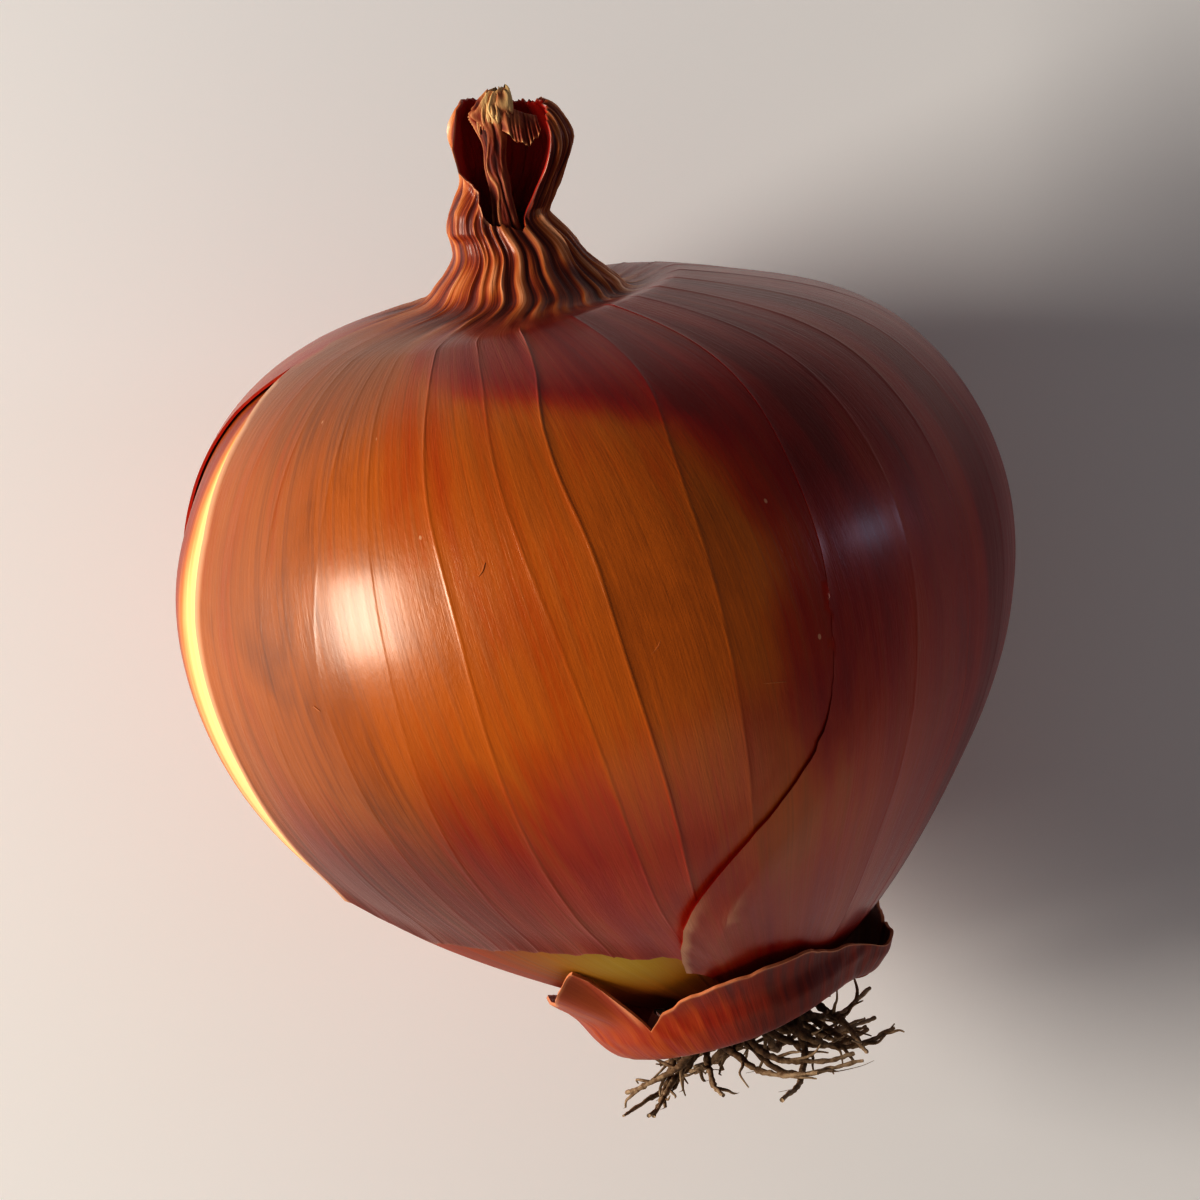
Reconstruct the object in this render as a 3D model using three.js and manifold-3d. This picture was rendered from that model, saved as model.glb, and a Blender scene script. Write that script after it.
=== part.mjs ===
// A dry-skinned bulb onion lying on its side, with its neck raised a little and its roots on.
import * as THREE from "three";
import { mergeVertices } from "three/addons/utils/BufferGeometryUtils.js";
import Module from "manifold-3d";

// Driving dimensions, in millimetres and degrees. The bulb's own frame has +Y along its axis
// towards the neck and +Z up, with its origin in the middle of the axis. A turn is an angle
// round that axis: 0 is the right side, 90 the top and 180 the left side.
const BULB_WIDTH = 80;
const BULB_HALF_LENGTH = 37.2;
const BULB_MIDDLE = -0.25;
const FLATTENING = 0.98;
const NECK_RISE = 10;
const FOOT_DEPTH = 1.8;
const FOOT_SLACK = 0.3;
const SKIN = 0.8;
const GAP = 0.3;
const FOLD_COUNT = 11;
const FOLD_HEIGHT = 0.5;
const LAP_STEP = 0.45;
const COLLAR_SKIN = 0.7;
const CORE_TWIST = 60;
const PLATE_RADIUS = 8;
const ROOT_COUNT = 26;
const ROOT_RADIUS = 0.42;

// The mesh: how many columns round each piece, and how many rows along it. A stretch of rows
// is the places that it runs between, then their count. The neck's runs to the mouth's foot.
const SKIN_COLUMNS = [46, 1, 17];
const SKIN_STRETCHES = [[0.03, 0.17, 3], [0.2, 0.34, 7], [0.404, 0.94, 9]];
const NECK_STRETCH = [1.25, 8];
const LOBE_ROWS = 8;
const BULB_COLUMNS = 48;
const BULB_STRETCHES = [[0, 1, 17], [1.8, 5.1, 5]];
const COLLAR_COLUMNS = 60;
const COLLAR_ROWS = 9;
const CORE_COLUMNS = 20;
const CORE_ROWS = 12;
const PLATE_SIDES = 24;
const ROOT_SIDES = 5;
const ROOT_STEPS = 9;

// The bulb's radius over half its width is cos(a) times this cubic in sin(a), where the
// angle a runs from the root end to the shoulder.
const FULLNESS = [0.976, 0.225, -0.078, 0.15];
const ROOT_ANGLE = -66;
const SHOULDER_ANGLE = 68;
const SHOULDER_BEFORE = 8;

// The bulb leans to the left towards its shoulder, and its right shoulder drops.
const LEAN = { always: -1.3, shoulder: -2.4, root: 1.3 };
const SHOULDER_DROP = 0.07;
const DROP_FROM = 35;

// Rings of the neck above the shoulder: height, radius, shift to the right, and how much of
// the way across the ring it drops. The waist is the fifth of them.
const NECK_RINGS = [
  [34.6, 12.3, -2.3, 0.16],
  [35.3, 9.3, -0.7, 0.14],
  [37.2, 7.2, -0.4, 0.10],
  [39.4, 5.55, 0.15, 0.11],
  [42.3, 4.45, -0.3, 0.19],
  [44.1, 4.3, 0.7, 0.25],
  [45.9, 4.4, 2.0, 0.24],
  [47.9, 5.1, 2.8, 0.23],
  [49.6, 5.35, 3.1, 0.25],
  [51.6, 4.7, 3.3, 0.24],
  [53.2, 3.6, 3.2, 0.26],
];

// The torn mouth of the neck: at each turn, the ring that its edge reaches. It is open in
// front down to the waist, with a lobe left and right of the opening, and its back is high.
const MOUTH = [
  [0, 10.7], [20, 10.6], [38, 10.2], [46, 9.8], [50, 9.0], [53, 7.5], [55, 6.2], [57, 5.3],
  [62, 4.9], [68, 4.75], [80, 4.9], [95, 5.0], [106, 5.2], [112, 5.55], [120, 6.1],
  [127, 6.55], [140, 6.9], [152, 7.2], [159, 7.6], [162, 8.2], [165, 9.6], [168, 10.4],
  [175, 10.9], [205, 11.0], [230, 10.8], [270, 10.6], [300, 10.45], [340, 10.7], [360, 10.7],
];
const MOUTH_FOOT = 4.6;

// The tear in the outer skin, as the turn of its front and hidden edges at each height. It
// closes above the shoulder and opens into the torn hem at the root end.
const TEAR_TOP = 34.4;
const TEAR_FRONT = [
  [-36, 108], [-25, 108], [-22.8, 116], [-20.8, 129], [-19.4, 143], [-17.6, 154],
  [-13, 159.5], [1.5, 158], [16, 159.5], [23.4, 158.5], [30.5, 161.5], [TEAR_TOP, 168],
];
const TEAR_BACK = [
  [-36, 212], [-20, 208], [-8, 204], [5, 200], [16, 195], [25, 187], [31, 178], [TEAR_TOP, 168],
];

// The bulb swells out of the tear, from the first of these margins inside its edges to the
// second, and less at its ends.
const SWELL = 0.9;
const SWELL_MARGIN = [10, 24];

// Where the right-hand sheet of skin laps over the front one, as a turn at each height, and
// how far round its step is.
const LAP_EDGE = [
  [-36, 102], [-25, 101], [-20.3, 90.5], [-16.1, 80], [-12.7, 71], [-9.2, 65],
  [-5.3, 62.6], [8.5, 60], [16, 58],
];
const LAP_WIDTH = 1.5;

// The torn collar round the root plate: rings of its outer face, from the plate's rim out
// and back up the bulb, as height and radius. Its edge reaches the given ring at each turn.
const COLLAR_RINGS = [
  [-35.3, 8.8], [-37.4, 10.4], [-37.6, 12.6], [-35.4, 14.3], [-32.6, 15.4], [-30, 17.8],
  [-27.5, 21.0],
];
const COLLAR_EDGE = [
  [0, 3.8], [20, 3.6], [45, 4.2], [64, 4.7], [82, 4.9], [105, 4.5], [118, 4.0],
  [126, 3.5], [132, 5.7], [138, 5.7], [150, 5.2], [168, 4.9], [185, 4.6], [205, 4.2],
  [235, 4.6], [270, 4.8], [310, 4.1], [345, 4.3], [360, 3.8],
];

// The collar stands clear in waves, and has a curled tip on each side: the turn of the tip,
// how far round it goes, how far it curls out and back, and the rings that it starts between.
const COLLAR_WAVE = { height: 0.6, count: 5, start: 60 };
const COLLAR_SHIFT = 0.3;
const COLLAR_TIPS = [
  { turn: 136, reach: 14, out: 0.9, back: 0, rings: [3.2, 5.6] },
  { turn: 14, reach: 14, out: 0.66, back: 1.1, rings: [1, 3] },
];

// The dried inner leaves in the mouth of the neck: a point on the middle line, half their
// width and half their thickness. Their top is ragged.
const CORE_RINGS = [
  [0.3, 41.3, 2.3, 1.0, 0.8], [0.3, 42.6, 2.6, 0.85, 0.7], [0.5, 44.2, 2.4, 0.95, 0.75],
  [0.75, 45.9, 2.1, 1.0, 0.8], [0.9, 47.7, 1.9, 1.0, 0.85], [1.5, 49.8, 2.0, 1.15, 0.9],
  [2.1, 51.5, 2.0, 1.6, 0.95], [2.4, 53.0, 1.9, 2.0, 0.95], [2.6, 54.1, 1.8, 1.7, 0.6],
];
const CORE_FOLD = { count: 4, depth: 0.14 };
const CORE_RAGGED = { height: 0.4, count: 7, rings: [6.5, 8] };

// The root plate, as a share of its radius and a height, and its roots: they start in it,
// splay, curl sideways and end between two heights. A range is its low end and its width.
const PLATE_OUTLINE = [[0, -37.3], [0.6, -37], [0.92, -36.2], [1, -34.9], [0.95, -34], [0, -33.9]];
const PLATE_RIM = 2;
const ROOT_START = -35.9;
const ROOT_SPLAY = 0.09;
const ROOT_SPACING = 137.5;
const ROOT_FIRST = 2.8;
const ROOT_BENDS = 4;
const ROOT_CURL = [0.45, 0.35];
const ROOT_LENGTH = [8.5, 7];
const ROOT_REACH = [-43.2, -39.4];
const ROOT_SEED = 7;
// How far a root strays at each bend, across, along and up, and which draw leaves it as it is.
const ROOT_STRAY = [[0.35, 0.35], [0.5, 0.3], [0.35, 0.5]];

const radians = THREE.MathUtils.degToRad;
const blend = THREE.MathUtils.smoothstep;

function steps(from, to, count) {
  return Array.from({ length: count }, (_, k) => THREE.MathUtils.lerp(from, to, k / (count - 1)));
}

// A value read off a list of [place, value] pairs, straight between one pair and the next.
function between(pairs, place) {
  const last = pairs.length - 1;
  const at = pairs.findIndex((pair) => pair[0] >= place);
  if (at === 0) return pairs[0][1];
  if (at < 0) return pairs[last][1];
  const [before, after] = [pairs[at - 1], pairs[at]];
  const share = (place - before[0]) / (after[0] - before[0]);
  return THREE.MathUtils.lerp(before[1], after[1], share);
}

// A smooth curve through rows of numbers, where step 0 is the second row.
function through(rows, step) {
  const row = THREE.MathUtils.clamp(Math.floor(step), 0, rows.length - 4);
  const t = step - row;
  return rows[row].map((a, k) => {
    const [b, c, d] = [rows[row + 1][k], rows[row + 2][k], rows[row + 3][k]];
    const square = 2 * a - 5 * b + 4 * c - d;
    const cube = 3 * b - a - 3 * c + d;
    return (2 * b + (c - a) * t + square * t ** 2 + cube * t ** 3) / 2;
  });
}

// The ring of the bulb at an angle a: height, radius, shift to the right, and drop across.
function bulbRing(a) {
  const s = Math.sin(radians(a));
  const height = BULB_MIDDLE + BULB_HALF_LENGTH * s;
  const fullness = FULLNESS.reduce((sum, share, power) => sum + share * s ** power, 0);
  const radius = (BULB_WIDTH / 2) * Math.cos(radians(a)) * fullness;
  const shift = LEAN.always + LEAN.shoulder * (Math.max(height, 0) / 33) ** 2
    + LEAN.root * blend(-height, 18, 33);
  return [height, radius, shift, SHOULDER_DROP * blend(a, DROP_FROM, SHOULDER_ANGLE)];
}

// Rings from root end to mouth: place 0 to 1 is the bulb, and each whole step past 1 is a
// ring of the neck.
const neckRows = [
  bulbRing(SHOULDER_ANGLE - SHOULDER_BEFORE),
  bulbRing(SHOULDER_ANGLE),
  ...NECK_RINGS,
  NECK_RINGS[NECK_RINGS.length - 1],
];

function ringAt(place) {
  if (place > 1) return through(neckRows, place - 1);
  return bulbRing(THREE.MathUtils.lerp(ROOT_ANGLE, SHOULDER_ANGLE, place));
}

function smoothPoint(turn, place) {
  const [height, radius, shift, drop] = ringAt(place);
  const x = radius * Math.cos(radians(turn));
  const z = FLATTENING * radius * Math.sin(radians(turn));
  return new THREE.Vector3(shift + x, height - drop * x, z);
}

function outwards(turn, place) {
  const small = 0.01;
  const round = smoothPoint(turn + small, place).sub(smoothPoint(turn - small, place));
  const up = smoothPoint(turn, place + small).sub(smoothPoint(turn, place - small));
  return up.cross(round).normalize();
}

// A point at a distance outside the smooth form, or inside it where the distance is negative.
function pointAt(turn, place, distance) {
  return smoothPoint(turn, place).addScaledVector(outwards(turn, place), distance);
}

// The dried folds of the neck, which fan out into the shoulder, and the lap of the skin.
function relief(turn, place) {
  const wander = 0.9 * Math.sin(radians(2 * turn + 40)) + 0.35 * (place - 4);
  const fold = 0.5 + 0.5 * Math.cos(radians(FOLD_COUNT * turn) + wander);
  const folds = FOLD_HEIGHT * fold ** 1.5 * blend(place, 1.3, 3.4);
  const height = ringAt(place)[0];
  const past = between(LAP_EDGE, height) + LAP_WIDTH - turn;
  const fade = blend(turn, -60, 0) * (1 - blend(height, 6, 14));
  return folds + LAP_STEP * THREE.MathUtils.clamp(past / LAP_WIDTH, 0, 1) * fade;
}

// The bulb turns by its rise about X and stands so deep in the surface that its foot is flat.
// Its lowest point is sought on its underside, between the root end and the shoulder.
const tilt = radians(NECK_RISE);
const upwards = new THREE.Vector3(0, Math.sin(tilt), Math.cos(tilt));
const UNDERSIDE = { turns: [240, 300, 61], places: [0.2, 0.9, 141] };

function lowestPoint() {
  const heights = steps(...UNDERSIDE.turns).flatMap((turn) => (
    steps(...UNDERSIDE.places).map((place) => smoothPoint(turn, place).dot(upwards))));
  return Math.min(...heights);
}

const lift = -lowestPoint() - FOOT_DEPTH;

// Moves a point up to a level above the surface that the onion lies on, where it is lower.
function keptAbove(level, point) {
  const height = point.dot(upwards) + lift;
  return point.addScaledVector(upwards, Math.max(0, level - height));
}

function geometryOf(points, index) {
  const geometry = new THREE.BufferGeometry().setFromPoints(points);
  geometry.setIndex(index);
  return geometry;
}

// A closed shell from two matching grids of points. A shell whose first and last columns
// meet is closed round its axis there, and is open between them where they don't.
function shell(outer, inner) {
  const rows = outer.length;
  const columns = outer[0].length;
  const points = [...outer.flat(), ...inner.flat()];
  const index = [];
  const out = (row, column) => row * columns + column;
  const inn = (row, column) => (rows + row) * columns + column;
  const quad = (a, b, c, d) => index.push(a, b, c, a, c, d);
  const meets = (row) => outer[row][0].distanceTo(outer[row][columns - 1]) < 1e-6;
  for (let row = 0; row < rows - 1; row += 1) {
    for (let column = 0; column < columns - 1; column += 1) {
      const [above, beside] = [row + 1, column + 1];
      quad(out(row, column), out(above, column), out(above, beside), out(row, beside));
      quad(inn(row, column), inn(row, beside), inn(above, beside), inn(above, column));
    }
    if (meets(row) && meets(row + 1)) continue;
    const end = columns - 1;
    quad(out(row + 1, 0), out(row, 0), inn(row, 0), inn(row + 1, 0));
    quad(out(row, end), out(row + 1, end), inn(row + 1, end), inn(row, end));
  }
  const top = rows - 1;
  for (let column = 0; column < columns - 1; column += 1) {
    const beside = column + 1;
    quad(out(0, column), out(0, beside), inn(0, beside), inn(0, column));
    quad(out(top, beside), out(top, column), inn(top, column), inn(top, beside));
  }
  return geometryOf(points, index);
}

// A closed body from rings of points, each end of it closed to the middle of its last ring.
function body(rings) {
  const count = rings[0].length;
  const points = rings.flat();
  const index = [];
  for (let row = 0; row < rings.length - 1; row += 1) {
    for (let column = 0; column < count; column += 1) {
      const beside = (column + 1) % count;
      const [a, b] = [row * count + column, row * count + beside];
      index.push(a, a + count, b + count, a, b + count, b);
    }
  }
  [rings[0], rings[rings.length - 1]].forEach((ring, end) => {
    const middle = ring.reduce((sum, point) => sum.add(point), new THREE.Vector3());
    const start = end ? points.length - 1 - count : 0;
    points.push(middle.divideScalar(count));
    const tip = points.length - 1;
    for (let column = 0; column < count; column += 1) {
      const [a, b] = [start + column, start + ((column + 1) % count)];
      index.push(...(end ? [a, tip, b] : [a, b, tip]));
    }
  });
  return geometryOf(points, index);
}

function named(name, geometry, colour, roughness) {
  const material = new THREE.MeshStandardMaterial({ color: colour, roughness, metalness: 0 });
  const mesh = new THREE.Mesh(geometry, material);
  mesh.name = name;
  return mesh;
}

// The outer skin and the dried neck, one sheet torn open on the left and at the root end. Its
// tear closes at one row, and its lobes are never shorter than their least step.
const TEAR_PLACE = 0.985;
const LEAST_LOBE = 0.02;
const bulbPlaces = SKIN_STRETCHES.flatMap((stretch) => steps(...stretch));
const neckPlaces = steps(NECK_STRETCH[0], 1 + MOUTH_FOOT, NECK_STRETCH[1]);

// The turns of one row of columns, with two columns that follow the edge of the lap.
function skinTurns(height) {
  const lap = between(LAP_EDGE, height);
  const stops = [between(TEAR_BACK, height) - 360, lap, lap + LAP_WIDTH, between(TEAR_FRONT, height)];
  return SKIN_COLUMNS.flatMap((count, k) => steps(stops[k], stops[k + 1], count + 1).slice(k ? 1 : 0));
}

function skinPlaces(turn) {
  const edge = 1 + between(MOUTH, THREE.MathUtils.euclideanModulo(turn, 360));
  const foot = 1 + MOUTH_FOOT;
  const lobe = steps(foot, Math.max(edge, foot + LEAST_LOBE), LOBE_ROWS).slice(1);
  return [...bulbPlaces, TEAR_PLACE, ...neckPlaces, ...lobe];
}

function outerSkin() {
  const grid = (distance, level) => {
    const rows = skinPlaces(0).length;
    return Array.from({ length: rows }, (_, row) => {
      const height = row < bulbPlaces.length ? ringAt(bulbPlaces[row])[0] : TEAR_TOP;
      return skinTurns(height).map((turn) => {
        const place = skinPlaces(turn)[row];
        return keptAbove(level, pointAt(turn, place, distance(turn, place)));
      });
    });
  };
  return shell(grid(relief, 0), grid(() => -SKIN, SKIN));
}

// The fleshy bulb with its own clinging skin, which fills the outer skin up into the neck
// and swells out where that is torn away. It is a little flatter over the foot.
function innerBulb() {
  const inset = SKIN + GAP;
  const lowest = inset + FOOT_SLACK;
  const places = BULB_STRETCHES.flatMap((stretch) => steps(...stretch));
  const swell = (turn, place) => {
    const height = ringAt(place)[0];
    const inFront = blend(turn - between(TEAR_FRONT, height), ...SWELL_MARGIN);
    const behind = blend(between(TEAR_BACK, height) - turn, ...SWELL_MARGIN);
    return SWELL * inFront * behind * (1 - blend(place, 0.65, 0.9)) * blend(place, 0.05, 0.2);
  };
  return body(places.map((place) => steps(0, 360, BULB_COLUMNS + 1).slice(0, -1)
    .map((turn) => keptAbove(lowest, pointAt(turn, place, swell(turn, place) - inset)))));
}

// The torn collar of old skin that grows from the root plate and turns up round the bulb.
function rootCollar() {
  const first = COLLAR_RINGS[0];
  const second = COLLAR_RINGS[1];
  const last = COLLAR_RINGS[COLLAR_RINGS.length - 1];
  const rings = [[2 * first[0] - second[0], 2 * first[1] - second[1]], ...COLLAR_RINGS, last];
  const at = (turn, step, inset) => {
    const [height, radius] = through(rings, step);
    const [nextHeight, nextRadius] = through(rings, step + 0.01);
    const [climb, run] = [nextHeight - height, nextRadius - radius];
    const long = Math.hypot(climb, run);
    const free = blend(step, 1, 5);
    const swing = 0.5 + 0.5 * Math.sin(radians(COLLAR_WAVE.count * turn + COLLAR_WAVE.start));
    let r = radius + COLLAR_WAVE.height * free * swing - (inset * climb) / long;
    let y = height + (inset * run) / long;
    COLLAR_TIPS.forEach((tip) => {
      const share = Math.exp(-(((turn - tip.turn) / tip.reach) ** 2)) * blend(step, ...tip.rings);
      r += tip.out * share;
      y -= tip.back * share;
    });
    const x = r * Math.cos(radians(turn)) - COLLAR_SHIFT * free;
    return new THREE.Vector3(x, y, r * Math.sin(radians(turn)));
  };
  const grid = (inset) => steps(0, 1, COLLAR_ROWS).map((share) => (
    steps(0, 360, COLLAR_COLUMNS + 1).map((turn) => (
      at(turn % 360, share * between(COLLAR_EDGE, turn), inset)))));
  return shell(grid(0), grid(COLLAR_SKIN));
}

// The dried inner leaves, folded and twisted together.
function neckCore() {
  const rings = [CORE_RINGS[0], ...CORE_RINGS, CORE_RINGS[CORE_RINGS.length - 1]];
  return body(steps(0, CORE_RINGS.length - 1, CORE_ROWS).map((step) => {
    const [x, y, z, wide, thick] = through(rings, step);
    const twist = (CORE_TWIST * step) / (CORE_RINGS.length - 1);
    return steps(0, 360, CORE_COLUMNS + 1).slice(0, -1).map((turn) => {
      const fold = 1 + CORE_FOLD.depth * Math.cos(radians(CORE_FOLD.count * (turn - twist)));
      const uneven = CORE_RAGGED.height * Math.sin(radians(CORE_RAGGED.count * turn));
      const across = wide * fold * Math.cos(radians(turn));
      const deep = thick * fold * Math.sin(radians(turn));
      return new THREE.Vector3(x + across, y + uneven * blend(step, ...CORE_RAGGED.rings), z + deep);
    });
  }));
}

// The root plate with its wiry roots, all grown together.
function seeded(seed) {
  let state = seed;
  return () => {
    state = (state * 1664525 + 1013904223) % 4294967296;
    return state / 4294967296;
  };
}

function rootCurve(number, random) {
  const drawn = ([low, width]) => low + width * random();
  const turn = number * radians(ROOT_SPACING);
  const ring = (PLATE_RADIUS - PLATE_RIM) * Math.sqrt((number + 0.5) / ROOT_COUNT);
  const side = new THREE.Vector3(-Math.sin(turn), 0, Math.cos(turn));
  const point = new THREE.Vector3(ring * Math.cos(turn), ROOT_START, ring * Math.sin(turn));
  const heading = new THREE.Vector3(ROOT_SPLAY * point.x, -1, ROOT_SPLAY * point.z).normalize();
  const curl = (random() < 0.5 ? -1 : 1) * drawn(ROOT_CURL);
  const length = drawn(ROOT_LENGTH);
  const points = [point.clone()];
  point.addScaledVector(heading, ROOT_FIRST);
  points.push(point.clone());
  for (let k = 0; k < ROOT_BENDS; k += 1) {
    heading.addScaledVector(side, curl);
    heading.add(new THREE.Vector3(...ROOT_STRAY.map(([far, even]) => far * (random() - even))));
    heading.normalize();
    point.addScaledVector(heading, length / ROOT_BENDS);
    point.y = THREE.MathUtils.clamp(point.y, ...ROOT_REACH);
    points.push(point.clone());
  }
  return new THREE.CatmullRomCurve3(points);
}

function rootTuft(wasm) {
  const random = seeded(ROOT_SEED);
  const corners = steps(0, 360, ROOT_SIDES + 1).slice(0, -1).map(radians);
  const outline = new THREE.Shape(corners.map((corner) => (
    new THREE.Vector2(Math.cos(corner), Math.sin(corner)).multiplyScalar(ROOT_RADIUS))));
  const root = (number) => new THREE.ExtrudeGeometry(outline, {
    steps: ROOT_STEPS, bevelEnabled: false, extrudePath: rootCurve(number, random),
  });
  const solid = (geometry) => {
    geometry.deleteAttribute("normal");
    geometry.deleteAttribute("uv");
    const merged = mergeVertices(geometry, 1e-4);
    const faces = [];
    for (let k = 0; k < merged.index.count; k += 3) {
      const [a, b, c] = [0, 1, 2].map((corner) => merged.index.getX(k + corner));
      if (a !== b && b !== c && c !== a) faces.push(a, b, c);
    }
    const vertProperties = merged.attributes.position.array;
    const triVerts = new Uint32Array(faces);
    return new wasm.Manifold(new wasm.Mesh({ numProp: 3, vertProperties, triVerts }));
  };
  const profile = PLATE_OUTLINE.map(([share, height]) => (
    new THREE.Vector2(share * PLATE_RADIUS, height)));
  const plate = solid(new THREE.LatheGeometry(profile, PLATE_SIDES));
  const grown = Array.from({ length: ROOT_COUNT }, (_, number) => solid(root(number)));
  const joined = grown.reduce((whole, one) => whole.add(one), plate).getMesh();
  const geometry = new THREE.BufferGeometry();
  geometry.setAttribute("position", new THREE.BufferAttribute(joined.vertProperties, 3));
  geometry.setIndex(new THREE.BufferAttribute(joined.triVerts, 1));
  return geometry;
}

const wasm = await Module();
wasm.setup();

const lying = new THREE.Group();
lying.rotation.x = tilt;
lying.position.z = lift;
lying.add(named("inner_bulb", innerBulb(), 0xc9a24a, 0.35));
lying.add(named("outer_skin", outerSkin(), 0xa84e1c, 0.4));
lying.add(named("neck_core", neckCore(), 0xb98550, 0.8));
lying.add(named("root_collar", rootCollar(), 0xb4622c, 0.6));
lying.add(named("root_tuft", rootTuft(wasm), 0x5a4632, 0.9));

// The origin is under the middle of the onion, on the surface that it lies on.
const onion = new THREE.Group();
onion.add(lying);
const box = new THREE.Box3().setFromObject(onion, true);
const middle = box.getCenter(new THREE.Vector3());
onion.position.set(-middle.x, -middle.y, 0);

export default onion;
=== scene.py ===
"""A dry-skinned bulb onion on its side, with its dried neck, its torn skin and its roots."""
import math

import bmesh
import bpy
import numpy as np
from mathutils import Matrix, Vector, noise


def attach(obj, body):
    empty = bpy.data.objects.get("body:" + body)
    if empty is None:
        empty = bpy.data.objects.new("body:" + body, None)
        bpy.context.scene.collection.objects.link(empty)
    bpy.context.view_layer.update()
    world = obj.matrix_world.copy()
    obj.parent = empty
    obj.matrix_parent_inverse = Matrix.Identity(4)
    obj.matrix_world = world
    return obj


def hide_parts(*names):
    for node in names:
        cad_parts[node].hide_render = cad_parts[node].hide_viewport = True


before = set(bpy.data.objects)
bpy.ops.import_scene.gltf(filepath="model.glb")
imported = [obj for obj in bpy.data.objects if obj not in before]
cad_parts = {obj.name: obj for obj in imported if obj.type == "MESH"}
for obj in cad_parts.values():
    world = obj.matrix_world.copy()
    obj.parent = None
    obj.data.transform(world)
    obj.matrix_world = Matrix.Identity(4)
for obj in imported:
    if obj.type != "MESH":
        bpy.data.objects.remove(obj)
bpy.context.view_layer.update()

# The onion is seen from straight above, with its neck leaning a little to the right of the
# top of the picture. The camera looks down from a long way off, as a camera held over a
# table does, and the onion fills the picture.
VIEW_LEAN = math.radians(17)
VIEW_MIDDLE = Vector((-0.0007, 0.0007, 0.036))
VIEW_DISTANCE = 0.80
VIEW_WIDTH = 0.114

camera_data = bpy.data.cameras.new("camera")
camera_data.sensor_width = 36
camera_data.lens = camera_data.sensor_width * VIEW_DISTANCE / VIEW_WIDTH
camera = bpy.data.objects.new("camera", camera_data)
camera.location = VIEW_MIDDLE + Vector((0, 0, VIEW_DISTANCE))
camera.rotation_euler = (0, 0, -VIEW_LEAN)
bpy.context.scene.collection.objects.link(camera)
bpy.context.scene.camera = camera
bpy.context.scene.view_settings.view_transform = "Standard"
bpy.context.scene.view_settings.look = "High Contrast"

# The floor is a plain pale table top. A low warm lamp with a wide soft face stands on the
# left, as evening sun does, a weak cool one on the right and a weak warm one at the root
# end, and dim walls close the room.
FLOOR_SIDE = 4.0
FLOOR_COLOUR = (0.92, 0.935, 0.97)
FLOOR_SHADE = 0.98
ROOM_WALL, ROOM_CEILING = (0.20, 0.19, 0.18), (0.09, 0.09, 0.095)
LAMPS = [
    # name, towards it (right, up, out of the picture), distance, width, height, colour, watts
    ("sun_lamp", (-0.88, -0.09, 0.44), 0.75, 0.34, 0.28, (1.0, 0.92, 0.80), 5.2),
    ("window_lamp", (0.93, 0.20, 0.24), 0.80, 0.10, 0.20, (0.62, 0.74, 1.0), 0.25),
    ("table_lamp", (0.30, -0.90, 0.34), 0.80, 0.70, 0.45, (1.0, 0.72, 0.45), 0.7),
]


def node(tree, kind, inputs, **settings):
    """One node of a material, with its sockets set to values or linked to other sockets."""
    made = tree.nodes.new(kind)
    for key, value in settings.items():
        setattr(made, key, value)
    for key, value in inputs.items():
        if isinstance(value, bpy.types.NodeSocket):
            tree.links.new(value, made.inputs[key])
        else:
            made.inputs[key].default_value = value
    return made


def new_finish(name, **sockets):
    """A material with only a shader, whose sockets are the same all over the surface."""
    finish = bpy.data.materials.new(name)
    finish.use_nodes = True
    shader = finish.node_tree.nodes["Principled BSDF"]
    for key, value in sockets.items():
        shader.inputs[key.replace("_", " ")].default_value = value
    return finish, finish.node_tree, shader


def object_of(name, points, faces, finish):
    """A mesh as an object of the scene, with one finish all over."""
    mesh = bpy.data.meshes.new(name)
    mesh.from_pydata(points, [], faces)
    mesh.materials.append(finish)
    made = bpy.data.objects.new(name, mesh)
    bpy.context.scene.collection.objects.link(made)
    return made


def noise_at(tree, vector, scale, detail=3.0, roughness=0.5, distortion=0.0):
    """Soft noise from 0 to 1."""
    made = node(tree, "ShaderNodeTexNoise", {
        "Vector": vector, "Scale": scale, "Detail": detail, "Roughness": roughness,
        "Distortion": distortion})
    return made.outputs["Fac"]


def ramp(tree, factor, stops):
    """A colour read off a row of stops, each a place and a colour."""
    made = node(tree, "ShaderNodeValToRGB", {"Fac": factor})
    elements = made.color_ramp.elements
    while len(elements) < len(stops):
        elements.new(0.5)
    for element, (place, colour) in zip(elements, stops):
        element.position = place
        element.color = (*colour, 1)
    return made.outputs["Color"]


floor_finish, tree, shader = new_finish("pale_table", Roughness=0.7)
place = node(tree, "ShaderNodeTexCoord", {}).outputs["Object"]
tree.links.new(ramp(tree, noise_at(tree, place, 3.0), [
    (0.3, FLOOR_COLOUR), (0.7, tuple(FLOOR_SHADE * part for part in FLOOR_COLOUR))]),
    shader.inputs["Base Color"])
half = FLOOR_SIDE / 2
floor = object_of("floor", [(-half, -half, 0), (half, -half, 0), (half, half, 0), (-half, half, 0)],
                  [(0, 1, 2, 3)], floor_finish)

room = bpy.data.worlds.new("room")
room.use_nodes = True
tree = room.node_tree
way = node(tree, "ShaderNodeTexCoord", {}).outputs["Generated"]
climb = node(tree, "ShaderNodeSeparateXYZ", {"Vector": way}).outputs["Z"]
tree.links.new(ramp(tree, climb, [(0.08, ROOM_WALL), (0.55, ROOM_CEILING)]),
               tree.nodes["Background"].inputs["Color"])
bpy.context.scene.world = room

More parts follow.
